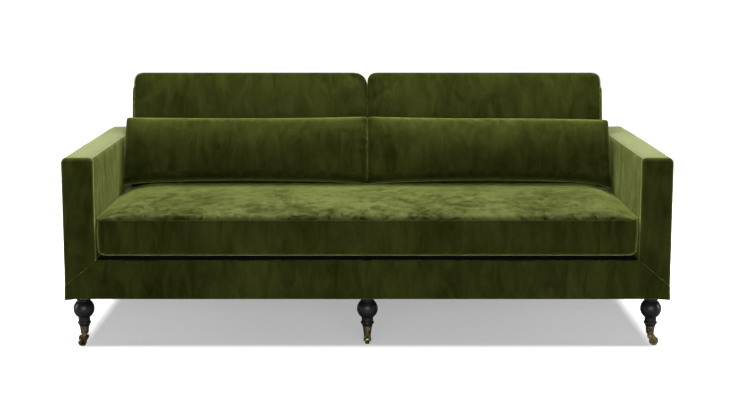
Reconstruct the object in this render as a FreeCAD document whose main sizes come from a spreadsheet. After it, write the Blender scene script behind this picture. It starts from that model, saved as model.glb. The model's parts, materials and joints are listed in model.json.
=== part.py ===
# Track arm sofa with loose cushions, turned front legs and brass casters, in millimetres.
# +Z is up, +X runs to the right as seen from the front, and the front faces -Y.
# The origin lies on the floor, under the middle of the footprint.
import FreeCAD, Part
import math
import os
import re
import Sketcher

Vector = FreeCAD.Vector
Rotation = FreeCAD.Rotation

# Driving dimensions, one cell of the sheet each
SIZES = {
    # Whole sofa
    "overall_width": 2060,
    "overall_depth": 870,
    "base_height": 176,          # underside of the upholstery above the floor
    "rail_height": 133,          # upholstered front rail, up to the deck
    "arm_width": 108,
    "arm_height": 655,           # top of the arm above the floor
    "back_height": 833,          # top of the back frame above the floor
    "back_lean": 10,             # degrees
    "back_top_depth": 98,        # back frame at its top, front to rear
    # Upholstery
    "cover_thick": 4,            # velvet with its wadding
    "border_thick": 18,          # padded front panels
    "border_round": 8,
    "mitre_rise": 45,            # where the slanting seam meets the side, above the border's foot
    "arm_round": 15,
    "arm_pad_inner": 14,
    "arm_pad_outer": 8,
    "arm_pad_top": 22,
    "back_pad_thick": 45,
    "back_pad_top": 10,
    "back_round": 24,
    "back_end_round": 9,
    "back_clearance": 0.5,       # back frame to arm, and its cover to its frame
    "deck_cover_thick": 3,
    "deck_pad_thick": 12,
    "deck_tuck": 35,             # deck carried in under the back
    "dust_thick": 2,
    "dust_recess": 1,
    # Timber frame
    "board_thick": 27,
    "arm_rail_thick": 22,
    "arm_board_thick": 6,
    "back_rail_thick": 22,
    "stretcher_width": 60,
    "stretcher_height": 89,
    "leg_block_length": 80,
    "leg_block_height": 50,
    # Webbing and springs
    "webbing_count": 5,
    "webbing_width": 50,
    "webbing_thick": 2,
    "webbing_start": 60,
    "webbing_pitch": 90,
    "spring_room": 6,            # rail top to the underside of the deck pad
    "spring_count": 8,
    "spring_waves": 12,
    "spring_wire": 4,
    "spring_swing": 25,
    "spring_lead": 12,
    "spring_lift": 0.6,          # wire above the rail
    "clip_width": 16,
    "clip_length": 10,
    "clip_height": 5.6,
    "clip_clearance": 0.15,
    # Seat cushion
    "seat_set_back": 8,
    "seat_end_gap": 7,
    "seat_rear_gap": 2,
    "seat_boxing": 112,
    "seat_crown": 45,
    "seat_under": 25,            # swell of its underside, which flattens on the deck
    "seat_under_shoulder": 70,
    "seat_shoulder": 125,        # how far in the crown takes to rise
    "seat_draw_in": 6,
    "seat_corner_pull": 18,      # how far its four corners fall back
    "seat_corner_run": 70,       # and over what length
    "cushion_gap": 0.6,          # loose cushions to what they rest on
    # Back cushions
    "back_cushion_top": 571,     # up the slope from the deck
    "back_cushion_boxing": 101,
    "back_cushion_crown": 29,
    "back_cushion_shoulder": 110,
    "back_cushion_round": 30,
    "back_cushion_draw_in": 4,
    "back_cushion_end_gap": 27,
    "cushion_split": 4,          # between the two cushions of a pair
    # Lumbar pillows
    "pillow_height": 252,
    "pillow_thick": 115,
    "pillow_seam": 6,
    "pillow_shoulder": 170,
    "pillow_draw_in": 9,
    "pillow_end_gap": 3,
    # Turned front legs
    "collar_dia": 60,
    "collar_height": 10,
    "neck_dia": 45.6,
    "ball_dia": 72,
    "ball_drop": 47,             # leg top to the middle of the ball
    "shaft_top_dia": 40.4,
    "shaft_low_dia": 39,
    "bead_root_dia": 40.4,
    "bead_thick": 9.2,
    "ankle_dia": 35,
    "ankle_height": 7.3,
    # Rear legs
    "rear_leg_top": 50,
    "rear_leg_toe": 30,
    "rear_leg_rake": 24,
    "rear_leg_round": 3,
    # Leg and arm fixings
    "leg_bolt_dia": 8,
    "leg_bolt_sink": 36,         # depth of the bore in the leg
    "insert_dia": 12,
    "insert_length": 25,
    "bore_spare": 2,             # room past the end of a bolt or insert
    "fixing_clearance": 0.1,
    "arm_bolt_dia": 8,
    "arm_bolt_head": 13,
    "arm_bolt_head_height": 5,
    "arm_bolt_inset": 75,
    "arm_bolt_height": 55,
    # Casters
    "wheel_dia": 32,
    "wheel_width": 15,
    "tread_crown": 1.4,
    "hub_dia": 14,
    "rim_thick": 3.1,
    "web_recess": 2.5,
    "axle_dia": 5,
    "axle_head_dia": 8,
    "axle_head_thick": 1.5,
    "running_clearance": 0.05,
    "wheel_side_clearance": 0.6,
    "cheek_thick": 4,
    "ear_dia": 13,
    "caster_trail": 13,
    "crown_clearance": 1.5,
    "crown_thick": 4,
    "crown_nose": 9,
    "boss_dia": 14.8,
    "boss_height": 2.7,
    "king_pin_dia": 8,
    "king_pin_head_dia": 13,
    "king_pin_head_thick": 2,
    "washer_dia": 16,
    "washer_thick": 1.6,
    "washer_clearance": 0.35,
    "swivel_gap": 0.1,
    # Ferrules and their screws
    "ferrule_height": 27,
    "ferrule_top_dia": 32.4,
    "ferrule_low_dia": 26,
    "ferrule_wall": 2,
    "ferrule_floor": 3,
    "ferrule_chamfer": 1.2,
    "ferrule_rim": 3,
    "ferrule_screw_dia": 2.8,
    "ferrule_screw_head": 5.2,
    "ferrule_screw_head_height": 1.4,
    "ferrule_screw_length": 8,
    "ferrule_screw_height": 16,
    "ferrule_screw_stand": 0.35,  # head clear of the tapered wall
    "ferrule_screw_turn": -65,   # degrees round the leg
    # Which way each caster trails, in degrees round its leg
    "left_caster_turn": 244,
    "centre_caster_turn": 90,
    "right_caster_turn": -10,
}

# Places worked out from the sizes
PLACES = {
    "half_width": "overall_width / 2",
    "inner_half": "half_width - arm_width",
    "front": "-overall_depth / 2",
    "rear": "overall_depth / 2",
    "deck_top": "base_height + rail_height",
    "frame_low": "base_height + dust_recess + dust_thick",
    "frame_front": "front + border_thick",
    "frame_rear": "rear - cover_thick",
    "board_front": "frame_front + board_thick",
    "board_rear": "frame_rear - board_thick",
    "deck_low": "deck_top - deck_cover_thick - deck_pad_thick",
    "rail_top": "deck_low - spring_room",
    "arm_core_in": "inner_half + cover_thick + arm_pad_inner",
    "arm_core_out": "half_width - cover_thick - arm_pad_outer",
    "arm_core_top": "arm_height - cover_thick - arm_pad_top",
    "post_out": "arm_core_out - arm_board_thick",
    "post_top": "arm_core_top - arm_rail_thick",
    "back_half": "inner_half - back_clearance",
    "seat_box_half": "back_half - cover_thick - back_clearance",
    "back_foot": "frame_rear - back_top_depth - (back_height - deck_top) * tan(back_lean)",
    "back_rail_top": "back_height - cover_thick - back_pad_top",
    "upright_top": "back_rail_top - back_rail_thick",
    "stretcher_top": "frame_low + stretcher_height",
    "leg_x": "(arm_core_in + post_out) / 2",
    "leg_front_y": "frame_front + leg_block_length / 2",
    "leg_rear_y": "frame_rear - leg_block_length / 2",
    "leg_top": "base_height + dust_recess",
    "wheel_radius": "wheel_dia / 2",
    "fork_gap": "wheel_width + 2 * wheel_side_clearance",
    "fork_width": "fork_gap + 2 * cheek_thick",
    "crown_low": "wheel_dia + crown_clearance",
    "crown_top": "crown_low + crown_thick",
    "boss_top": "crown_top + boss_height",
    "ferrule_low": "boss_top + washer_thick + 2 * swivel_gap",
    "ferrule_top": "ferrule_low + ferrule_height",
    "ferrule_inside": "ferrule_low + ferrule_floor",
    "pin_head_low": "ferrule_inside + swivel_gap",
    "pin_head_top": "pin_head_low + king_pin_head_thick",
    "spigot_low": "pin_head_top + 1",
    "spring_axis": "rail_top + spring_lift + spring_wire / 2",
}

SIDES = {"left": -1, "right": 1}
CASTERS = {"left": "-leg_x", "centre": "0", "right": "leg_x"}

doc = FreeCAD.newDocument("track_arm_sofa")
sheet = doc.addObject("Spreadsheet::Sheet", "sizes")
for row, (alias, number) in enumerate(SIZES.items(), 1):
    sheet.set(f"A{row}", alias.replace("_", " "))
    sheet.set(f"B{row}", str(number))
    sheet.setAlias(f"B{row}", alias)
doc.recompute()

pieces = {}


def expression(text):
    """The text with each size pointing at its cell, and each place written out in sizes."""
    def spell(match):
        word = match.group()
        if word in PLACES:
            return "(" + expression(PLACES[word]) + ")"
        return "sizes." + word if word in SIZES else word
    return re.sub(r"[a-z][a-z_]*", spell, text)


def value(text):
    """What an expression of sizes and places comes to, in millimetres or degrees."""
    return float(sheet.evalExpression(expression(text)))


def bind(thing, **properties):
    """Tie properties of an object to expressions."""
    for name, text in properties.items():
        thing.setExpression(name.replace("__", "."), expression(text))


def place(thing, x="0", y="0", z="0", turn=None, axis=Vector(0, 0, 1)):
    """Put an object at a place, turned about an axis by an expression in degrees."""
    if turn is not None:
        thing.Placement = FreeCAD.Placement(Vector(), Rotation(axis, 1))
        bind(thing, Placement__Rotation__Angle=turn)
    bind(thing, Placement__Base__x=x, Placement__Base__y=y, Placement__Base__z=z)
    return thing


def keep(name, thing):
    """Record a finished piece under the name of its node."""
    thing.Label = name
    pieces[name] = thing
    return thing


# Plain boards, rods, holes and groups


def board(name, x_span, y_span, z_span):
    """A rectangular board between pairs of expressions."""
    thing = doc.addObject("Part::Box", name)
    bind(
        thing,
        Length=f"({x_span[1]}) - ({x_span[0]})",
        Width=f"({y_span[1]}) - ({y_span[0]})",
        Height=f"({z_span[1]}) - ({z_span[0]})",
    )
    return place(thing, x_span[0], y_span[0], z_span[0])


def mirrored(span):
    """The same span on the other side of the middle."""
    return f"-({span[1]})", f"-({span[0]})"


def on_both_sides(name, x_span, y_span, z_span):
    """A board on the right and its mirror image on the left."""
    right = board(name + "_right", x_span, y_span, z_span)
    left = board(name + "_left", mirrored(x_span), y_span, z_span)
    return [left, right]


def rod(name, along, x, y, z, dia, length):
    """A round rod that starts at a place and runs along a row axis."""
    thing = doc.addObject("Part::Cylinder", name)
    turns = {"x": Rotation(Vector(0, 1, 0), 90), "y": Rotation(Vector(1, 0, 0), -90), "z": Rotation()}
    thing.Placement = FreeCAD.Placement(Vector(), turns[along])
    bind(thing, Radius=f"({dia}) / 2", Height=length)
    return place(thing, x, y, z)


def group(name, members):
    """Separate solids held in one node."""
    thing = doc.addObject("Part::Compound", name)
    thing.Links = members
    return thing


def drilled(name, base, tools):
    """A piece with holes cut by rods."""
    thing = doc.addObject("Part::Cut", name)
    thing.Base = base
    thing.Tool = tools[0] if len(tools) == 1 else group(name + "_holes", tools)
    return thing


# Bodies drawn as sketches


def new_body(name):
    return doc.addObject("PartDesign::Body", name)


def arc_between(start, end, radius):
    """An arc under a half circle, swelling to the left of the way along where radius is positive.

    Its own ends run anticlockwise, so the second result says whether they are swapped.
    """
    chord = end - start
    across = Vector(chord.y, -chord.x, 0).normalize()
    drop = math.sqrt(max(radius ** 2 - chord.Length ** 2 / 4, 0))
    centre = (start + end) / 2 + across * math.copysign(drop, radius)
    circle = Part.Circle(centre, Vector(0, 0, 1), abs(radius))
    first = math.atan2(start.y - centre.y, start.x - centre.x)
    last = math.atan2(end.y - centre.y, end.x - centre.x)
    swapped = radius > 0
    ends = (last, first) if swapped else (first, last)
    return Part.ArcOfCircle(circle, *ends), swapped


def draw(body, name, plane, corners, bulges=None, lift="0"):
    """A closed outline on a plane of the body's own origin, tied to the sheet corner by corner.

    Each corner is a pair of expressions, across and up; bulges gives the radius of the arc that takes
    the place of the side after a corner.
    """
    bulges = bulges or {}
    sketch = body.newObject("Sketcher::SketchObject", name)
    base = next(part for part in body.Origin.OriginFeatures if part.Role == plane)
    sketch.AttachmentSupport = [(base, "")]
    sketch.MapMode = "FlatFace"
    bind(sketch, AttachmentOffset__Base__z=lift)
    points = [Vector(value(across), value(up), 0) for across, up in corners]
    swaps = []
    for side, start in enumerate(points):
        end = points[(side + 1) % len(points)]
        if side in bulges:
            curve, swapped = arc_between(start, end, value(bulges[side]))
        else:
            curve, swapped = Part.LineSegment(start, end), False
        sketch.addGeometry(curve)
        swaps.append(swapped)
    for side, swapped in enumerate(swaps):
        following = (side + 1) % len(points)
        last = 1 if swapped else 2
        first = 2 if swaps[following] else 1
        sketch.addConstraint(Sketcher.Constraint("Coincident", side, last, following, first))
    for side, (across, up) in enumerate(corners):
        first = 2 if swaps[side] else 1
        for kind, name, text in (("DistanceX", "across", across), ("DistanceY", "up", up)):
            number = sketch.addConstraint(Sketcher.Constraint(kind, -1, 1, side, first, value(text)))
            sketch.renameConstraint(number, f"{name}{side}")
            sketch.setExpression(f"Constraints.{name}{side}", expression(text))
    for side, text in bulges.items():
        number = sketch.addConstraint(Sketcher.Constraint("Radius", side, abs(value(text))))
        sketch.renameConstraint(number, f"radius{side}")
        sketch.setExpression(f"Constraints.radius{side}", expression(f"abs({text})"))
    doc.recompute()
    return sketch


def pad(body, sketch, length, both_ways=False, reverse=False):
    feature = body.newObject("PartDesign::Pad", sketch.Name + "_pad")
    feature.Profile = sketch
    feature.SideType = "Symmetric" if both_ways else "One side"
    feature.Reversed = reverse
    bind(feature, Length=length)
    doc.recompute()
    return feature


def pocket(body, sketch, length, both_ways=False):
    """Cut a sketch out of its body; the body has to lose volume."""
    before = body.Shape.Volume
    feature = body.newObject("PartDesign::Pocket", sketch.Name + "_pocket")
    feature.Profile = sketch
    feature.SideType = "Symmetric" if both_ways else "One side"
    bind(feature, Length=length)
    doc.recompute()
    assert body.Shape.Volume < before, f"{feature.Name} cuts nothing"
    return feature


def turn_profile(body, sketch):
    """Revolve a sketch about its own upright axis."""
    feature = body.newObject("PartDesign::Revolution", sketch.Name + "_turning")
    feature.Profile = sketch
    feature.ReferenceAxis = (sketch, ["V_Axis"])
    feature.Angle = 360
    doc.recompute()
    return feature


def turned(name, plane, corners, bulges=None):
    """A turned piece: its outline is (radius, distance along the axis)."""
    body = new_body(name)
    turn_profile(body, draw(body, name + "_outline", plane, corners, bulges))
    return body


def rounded(body, base, radius, wanted):
    """Round the edges of a feature that a test picks out."""
    edges = [f"Edge{number}" for number, edge in enumerate(base.Shape.Edges, 1) if wanted(edge)]
    feature = body.newObject("PartDesign::Fillet", base.Name + "_round")
    feature.Base = (base, edges)
    bind(feature, Radius=radius)
    doc.recompute()
    return feature


def runs_along(edge, axis):
    """Whether an edge is straight and follows an axis."""
    if len(edge.Vertexes) != 2:
        return False
    step = edge.Vertexes[1].Point - edge.Vertexes[0].Point
    return abs(abs(step.dot(axis)) - edge.Length) < 0.001


def same(first, second):
    return abs(first - second) < 0.01


# Timber frame


def seat_box():
    """Front, rear and side rails, and the stretcher between the middle legs."""
    heights = ("frame_low", "rail_top")
    full = ("-seat_box_half", "seat_box_half")
    between = ("board_front", "board_rear")
    keep("front_rail", board("front_rail", full, ("frame_front", "board_front"), heights))
    keep("rear_rail", board("rear_rail", full, ("board_rear", "frame_rear"), heights))
    x_span = ("seat_box_half - board_thick", "seat_box_half")
    rails = on_both_sides("side_rail", x_span, between, heights)
    keep("side_rails", group("side_rails", arm_bolt_holes("side_rail", rails)))
    blank = board(
        "stretcher_blank",
        ("-stretcher_width / 2", "stretcher_width / 2"),
        between,
        ("frame_low", "stretcher_top"),
    )
    holes = [insert_hole("stretcher_" + end, "0", y) for end, y in LEG_ROWS.items()]
    keep("centre_stretcher", drilled("centre_stretcher", blank, holes))


LEG_ROWS = {"front": "leg_front_y", "rear": "leg_rear_y"}


def insert_hole(name, x, y):
    """The hole for a leg's threaded insert, bored up from the underside of the frame."""
    dia = "insert_dia + 2 * fixing_clearance"
    return rod(name + "_hole", "z", x, y, "frame_low", dia, "insert_length + bore_spare")


def arm_bolt_places():
    """Where the arm bolts cross the side rails, front to rear."""
    return ("board_front + arm_bolt_inset", "(board_front + board_rear) / 2", "board_rear - arm_bolt_inset")


def arm_bolt_holes(name, boards):
    """The same row of bolt holes through a left and a right board."""
    holed = []
    for side, blank in zip(SIDES, boards):
        x = "-arm_core_in" if side == "left" else "seat_box_half - board_thick"
        length = "arm_core_in - seat_box_half + board_thick"
        tools = []
        for number, y in enumerate(arm_bolt_places()):
            label = f"{name}_{side}_hole{number}"
            dia = "arm_bolt_dia + 2 * fixing_clearance"
            tools.append(rod(label, "x", x, y, "frame_low + arm_bolt_height", dia, length))
        holed.append(drilled(f"{name}_{side}_drilled", blank, tools))
    return holed


def arm_frames():
    """Posts on leg blocks, rails and thin boards inside each arm."""
    core = ("arm_core_in", "post_out")
    whole = ("frame_front", "frame_rear")
    block_top = "frame_low + leg_block_height"
    posts = on_both_sides("front_post", core, ("frame_front", "board_front"), (block_top, "post_top"))
    posts += on_both_sides("rear_post", core, ("board_rear", "frame_rear"), (block_top, "post_top"))
    keep("arm_posts", group("arm_posts", posts))
    rails = on_both_sides(
        "arm_top_rail", ("arm_core_in", "arm_core_out"), whole, ("post_top", "arm_core_top")
    )
    keep("arm_top_rails", group("arm_top_rails", rails))
    lower = on_both_sides(
        "arm_lower_rail", ("seat_box_half", "arm_core_in"), whole, ("frame_low", "rail_top")
    )
    keep("arm_lower_rails", group("arm_lower_rails", arm_bolt_holes("arm_lower_rail", lower)))
    inner = on_both_sides(
        "arm_inner_board",
        ("arm_core_in", "arm_core_in + arm_board_thick"),
        ("board_front", "board_rear"),
        ("rail_top", "post_top"),
    )
    keep("arm_inner_boards", group("arm_inner_boards", inner))
    outer = on_both_sides(
        "arm_outer_board", ("post_out", "arm_core_out"), whole, ("frame_low", "post_top")
    )
    keep("arm_outer_boards", group("arm_outer_boards", outer))
    blocks = []
    depths = {
        "front": ("frame_front", "frame_front + leg_block_length"),
        "rear": ("frame_rear - leg_block_length", "frame_rear"),
    }
    for end, y_span in depths.items():
        pair = on_both_sides(end + "_leg_block", core, y_span, ("frame_low", block_top))
        for (side, sign), blank in zip(SIDES.items(), pair):
            name = f"{end}_{side}_leg_block"
            hole = insert_hole(name, f"{sign} * leg_x", LEG_ROWS[end])
            blocks.append(drilled(name, blank, [hole]))
    keep("leg_blocks", group("leg_blocks", blocks))


def behind_back(height, depth):
    """How far back a plane lies at a height, given its depth behind the sloping face of the back."""
    return f"back_foot + (({height}) - deck_top) * tan(back_lean) + ({depth}) / cos(back_lean)"


def upright(name, x, foot):
    """A board upright of the back, cut to the slope, centred at x."""
    body = new_body(name)
    depth = "cover_thick + back_pad_thick + webbing_thick"
    corners = foot(depth) + [
        ("frame_rear", "upright_top"),
        (behind_back("upright_top", depth), "upright_top"),
    ]
    pad(body, draw(body, name + "_outline", "YZ_Plane", corners), "board_thick", both_ways=True)
    return place(body, x)


def back_frame():
    """Uprights, the rail across their tops, and the webbing that carries the back pad."""
    def on_side_rail(depth):
        return [(behind_back("rail_top", depth), "rail_top"), ("frame_rear", "rail_top")]

    def on_stretcher(depth):
        return [
            (behind_back("stretcher_top", depth), "stretcher_top"),
            ("board_rear", "stretcher_top"),
            ("board_rear", "rail_top"),
            ("frame_rear", "rail_top"),
        ]

    middle_of_rail = "(seat_box_half - board_thick / 2)"
    sides = [
        upright(side + "_upright", f"{sign} * {middle_of_rail}", on_side_rail)
        for side, sign in SIDES.items()
    ]
    keep("side_uprights", group("side_uprights", sides))
    keep("centre_upright", upright("centre_upright", "0", on_stretcher))
    full = ("-seat_box_half", "seat_box_half")
    depth = "cover_thick + back_pad_thick + webbing_thick"
    y_span = (behind_back("back_rail_top", depth), "frame_rear")
    keep("back_top_rail", board("back_top_rail", full, y_span, ("upright_top", "back_rail_top")))
    straps = []
    for number in range(round(value("webbing_count"))):
        strap = doc.addObject("Part::Box", f"webbing{number}")
        bind(strap, Length="2 * seat_box_half", Width="webbing_thick", Height="webbing_width")
        climb = f"(webbing_start + {number} * webbing_pitch)"
        y = f"back_foot + (cover_thick + back_pad_thick) / cos(back_lean) + {climb} * sin(back_lean)"
        z = f"deck_top + {climb} * cos(back_lean)"
        straps.append(place(strap, "-seat_box_half", y, z, turn="-back_lean", axis=Vector(1, 0, 0)))
    keep("back_webbing", group("back_webbing", straps))


# Springs


def spring_shape(x):
    """A flat sinuous spring from front rail to rear rail, bent from one wire.

    Each swing is an arc from the middle line out to a crest and back; the first and last are half arcs
    that end at a crest, where the wire runs straight into its clip.
    """
    first_y = value("frame_front + board_thick / 2")
    last_y = value("frame_rear - board_thick / 2")
    lead = value("spring_lead")
    swing = value("spring_swing")
    waves = round(value("spring_waves"))
    z = value("spring_axis")
    half_wave = (last_y - first_y - 2 * lead) / waves
    quarter = half_wave / 2
    radius = (swing ** 2 + quarter ** 2) / (2 * swing)
    sweep = 2 * math.atan2(swing, quarter)

    def point(offset, y):
        return Vector(x + offset, y, z)

    def near_crest(side, y, angle):
        """The point of a crest's arc at an angle from the crest itself."""
        return point(side * (swing - radius + radius * math.cos(angle)), y + radius * math.sin(angle))

    start = first_y + lead
    edges = [Part.makeLine(point(swing, first_y), point(swing, start))]
    for number in range(waves + 1):
        side = 1 if number % 2 == 0 else -1
        y = start + number * half_wave
        low = 0 if number == 0 else -sweep
        high = 0 if number == waves else sweep
        ends = [near_crest(side, y, angle) for angle in (low, (low + high) / 2, high)]
        edges.append(Part.Arc(*ends).toShape())
    last_side = 1 if waves % 2 == 0 else -1
    edges.append(Part.makeLine(point(last_side * swing, last_y - lead), point(last_side * swing, last_y)))
    wire = Part.makeCircle(value("spring_wire") / 2, point(swing, first_y), Vector(0, 1, 0))
    return Part.Wire(edges).makePipeShell([Part.Wire(wire)], True, False)


def springs():
    """Sinuous springs side by side, each end held to its rail by a clip."""
    count = round(value("spring_count"))
    waves = round(value("spring_waves"))
    wires = []
    clips = []
    for number in range(count):
        x = f"(({number} + 0.5) / {count} - 0.5) * 2 * seat_box_half"
        wire = doc.addObject("Part::Feature", f"spring{number}")
        wire.Shape = spring_shape(value(x))
        wires.append(wire)
        last_side = 1 if waves % 2 == 0 else -1
        ends = {
            "front": ("frame_front + board_thick / 2", 1),
            "rear": ("frame_rear - board_thick / 2", last_side),
        }
        for end, (y, side) in ends.items():
            name = f"{end}_clip{number}"
            middle = f"{x} + {side} * spring_swing"
            low_y = f"{y} - clip_length / 2"
            block = board(
                name + "_block",
                (f"{middle} - clip_width / 2", f"{middle} + clip_width / 2"),
                (low_y, f"{low_y} + clip_length"),
                ("rail_top", "rail_top + clip_height"),
            )
            dia = "spring_wire + 2 * clip_clearance"
            hole = rod(name + "_hole", "y", middle, low_y, "spring_axis", dia, "clip_length")
            clips.append(drilled(name, block, [hole]))
    keep("seat_springs", group("seat_springs", wires))
    keep("spring_clips", group("spring_clips", clips))


# Padding and covers


def deck():
    """Felt pad over the springs, its cover, and the dust cover under the frame."""
    full = ("-inner_half", "inner_half")
    y_span = ("frame_front", "back_foot + deck_tuck")
    pad_top = "deck_low + deck_pad_thick"
    keep("deck_pad", board("deck_pad", full, y_span, ("deck_low", pad_top)))
    keep("deck_cover", board("deck_cover", full, y_span, (pad_top, "deck_top")))
    blank = board(
        "dust_blank",
        ("cover_thick - half_width", "half_width - cover_thick"),
        ("frame_front", "frame_rear"),
        ("leg_top", "frame_low"),
    )
    holes = []
    for end, y in LEG_ROWS.items():
        for spot, x in CASTERS.items():
            dia = "leg_bolt_dia + 2 * bore_spare"
            holes.append(rod(f"dust_{end}_{spot}_hole", "z", x, y, "leg_top", dia, "dust_thick"))
    keep("dust_cover", drilled("dust_cover", blank, holes))


def arm_layer(name, sign, outer, inner):
    """One layer of arm upholstery, an upturned trough run from front to rear.

    outer and inner are (in, top, out, foot) places; the inner wall stops on the lower rail.
    """
    def side(text):
        return f"{sign} * ({text})"

    corners = [
        (side(outer["in"]), "rail_top"),
        (side(outer["in"]), outer["top"]),
        (side(outer["out"]), outer["top"]),
        (side(outer["out"]), outer["foot"]),
        (side(inner["out"]), outer["foot"]),
        (side(inner["out"]), inner["top"]),
        (side(inner["in"]), inner["top"]),
        (side(inner["in"]), "rail_top"),
    ]
    body = new_body(name)
    solid = pad(
        body, draw(body, name + "_outline", "XZ_Plane", corners), "frame_rear - frame_front", reverse=True
    )

    def top_edge(top):
        level = value(top)
        lengthwise = Vector(0, 1, 0)
        return lambda edge: runs_along(edge, lengthwise) and same(edge.CenterOfMass.z, level)

    return body, solid, top_edge


def arm_upholstery():
    """On each arm a foam layer round the frame and a velvet sleeve round the foam."""
    skin = {"in": "inner_half", "top": "arm_height", "out": "half_width", "foot": "base_height"}
    lining = {
        "in": "inner_half + cover_thick",
        "top": "arm_height - cover_thick",
        "out": "half_width - cover_thick",
        "foot": "frame_low",
    }
    core = {"in": "arm_core_in", "top": "arm_core_top", "out": "arm_core_out"}
    for side, sign in SIDES.items():
        body, solid, top_edge = arm_layer(side + "_arm_cover", sign, skin, lining)
        outside = rounded(body, solid, "arm_round", top_edge(skin["top"]))
        rounded(body, outside, "arm_round - cover_thick", top_edge(lining["top"]))
        keep(side + "_arm_cover", place(body, y="frame_front"))
        body, solid, top_edge = arm_layer(side + "_arm_pad", sign, lining, core)
        rounded(body, solid, "arm_round - cover_thick", top_edge(lining["top"]))
        keep(side + "_arm_pad", place(body, y="frame_front"))


def front_panel(name, corners, corner_rounds):
    """A padded panel on the front, its free edges rounded and its mitred edges left sharp."""
    body = new_body(name)
    solid = pad(body, draw(body, name + "_outline", "XZ_Plane", corners), "border_thick", reverse=True)
    if corner_rounds:
        solid = rounded(body, solid, "arm_round", corner_rounds)

    def free_front_edge(edge):
        if any(abs(vertex.Y) > 0.001 for vertex in edge.Vertexes):
            return False
        level = runs_along(edge, Vector(1, 0, 0)) or runs_along(edge, Vector(0, 0, 1))
        return level or isinstance(edge.Curve, Part.Circle)

    rounded(body, solid, "border_round", free_front_edge)
    return keep(name, place(body, y="front"))


def front_panels():
    """The border across the front rail and the two arm fronts that meet it in slanting seams."""
    seam_foot = "base_height + mitre_rise"
    border = [
        ("-half_width", "base_height"),
        ("half_width", "base_height"),
        ("half_width", seam_foot),
        ("inner_half", "deck_top"),
        ("-inner_half", "deck_top"),
        ("-half_width", seam_foot),
    ]
    front_panel("front_border", border, None)

    def top_corner(edge):
        return runs_along(edge, Vector(0, 1, 0)) and same(edge.CenterOfMass.z, value("arm_height"))

    for side, sign in SIDES.items():
        corners = [
            (f"{sign} * inner_half", "deck_top"),
            (f"{sign} * half_width", seam_foot),
            (f"{sign} * half_width", "arm_height"),
            (f"{sign} * inner_half", "arm_height"),
        ]
        front_panel(side + "_arm_front", corners, top_corner)


def padded_face(low, top, depth, radius):
    """Front of the back in side view: its foot, then both ends of the round where slope meets top."""
    run = f"({radius}) / tan(45 + back_lean / 2)"
    corner = behind_back(top, depth)
    return [
        (behind_back(low, depth), low),
        (f"{corner} - {run} * sin(back_lean)", f"{top} - {run} * cos(back_lean)"),
        (f"{corner} + {run}", top),
    ]


def back_upholstery():
    """Foam on the slope of the back, its cover with closed ends, and the outside back panel."""
    body = new_body("back_cover")
    corners = padded_face("deck_top", "back_height", "0", "back_round") + [
        ("frame_rear", "back_height"),
        ("frame_rear", "deck_top"),
    ]
    outline = draw(body, "back_cover_outline", "YZ_Plane", corners, {1: "back_round"})
    solid = pad(body, outline, "2 * back_half", both_ways=True)

    def end_top(edge):
        return runs_along(edge, Vector(0, 1, 0)) and same(edge.CenterOfMass.z, value("back_height"))

    rounded(body, solid, "back_end_round", end_top)
    lining_top = "back_height - cover_thick"
    lining_round = "back_round - cover_thick"
    low = "deck_top - cover_thick"
    past_rear = "frame_rear + cover_thick"
    corners = padded_face(low, lining_top, "cover_thick", lining_round) + [
        (past_rear, lining_top),
        (past_rear, low),
    ]
    hollow = draw(body, "back_cover_hollow", "YZ_Plane", corners, {1: lining_round})
    pocket(body, hollow, "2 * (back_half - cover_thick)", both_ways=True)
    keep("back_cover", body)

    body = new_body("back_pad")
    rear_face = "cover_thick + back_pad_thick"
    corners = padded_face("deck_top", lining_top, "cover_thick", lining_round) + [
        ("frame_rear", lining_top),
        ("frame_rear", "back_rail_top"),
        (behind_back("back_rail_top", rear_face), "back_rail_top"),
        (behind_back("deck_top", rear_face), "deck_top"),
    ]
    outline = draw(body, "back_pad_outline", "YZ_Plane", corners, {1: lining_round})
    pad(body, outline, "2 * seat_box_half", both_ways=True)
    keep("back_pad", body)

    body = new_body("outside_back")
    outline = [
        ("-half_width", "base_height"),
        ("half_width", "base_height"),
        ("half_width", "arm_height"),
        ("back_half", "arm_height"),
        ("back_half", "back_height"),
        ("-back_half", "back_height"),
        ("-back_half", "arm_height"),
        ("-half_width", "arm_height"),
    ]
    sketch = draw(body, "outside_back_outline", "XZ_Plane", outline)
    solid = pad(body, sketch, "cover_thick", reverse=True)

    def corner_at(x, z):
        return lambda edge: (
            runs_along(edge, Vector(0, 1, 0))
            and same(abs(edge.CenterOfMass.x), value(x))
            and same(edge.CenterOfMass.z, value(z))
        )

    solid = rounded(body, solid, "arm_round", corner_at("half_width", "arm_height"))
    rounded(body, solid, "back_end_round", corner_at("back_half", "back_height"))
    keep("outside_back", place(body, y="frame_rear"))


# Loose cushions


def closed_wire(points, vias):
    """A ring of sides through points in order; vias gives a point that a side's arc passes through."""
    edges = []
    for side, start in enumerate(points):
        end = points[(side + 1) % len(points)]
        if side in vias:
            edges.append(Part.Arc(start, vias[side], end).toShape())
        else:
            edges.append(Part.makeLine(start, end))
    return Part.Wire(edges)


def rise(distance, shoulder):
    """How much of the crown has risen at a distance in from the end: a parabola that levels off."""
    return 1 - (1 - min(distance / shoulder, 1)) ** 2


def stations(length, shares, shoulder):
    """Places along a cushion that have a section, each with its distance from the nearer end."""
    near = [(share * shoulder - length / 2, share * shoulder) for share in shares]
    return near + [(-step, distance) for step, distance in reversed(near)]


def lofted(name, sections):
    """A cushion through its rings: a smooth shoulder at each end, and a level run between the two."""
    half = len(sections) // 2
    first, last = sections[:half], sections[half:]
    shoulders = [Part.makeLoft(rings, True, False) for rings in (first, last)]
    level = Part.makeLoft([first[-1], last[0]], True, True)
    thing = doc.addObject("Part::Feature", name)
    thing.Shape = level.fuse(shoulders).removeSplitter().Solids[0]
    return keep(name, thing)


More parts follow.
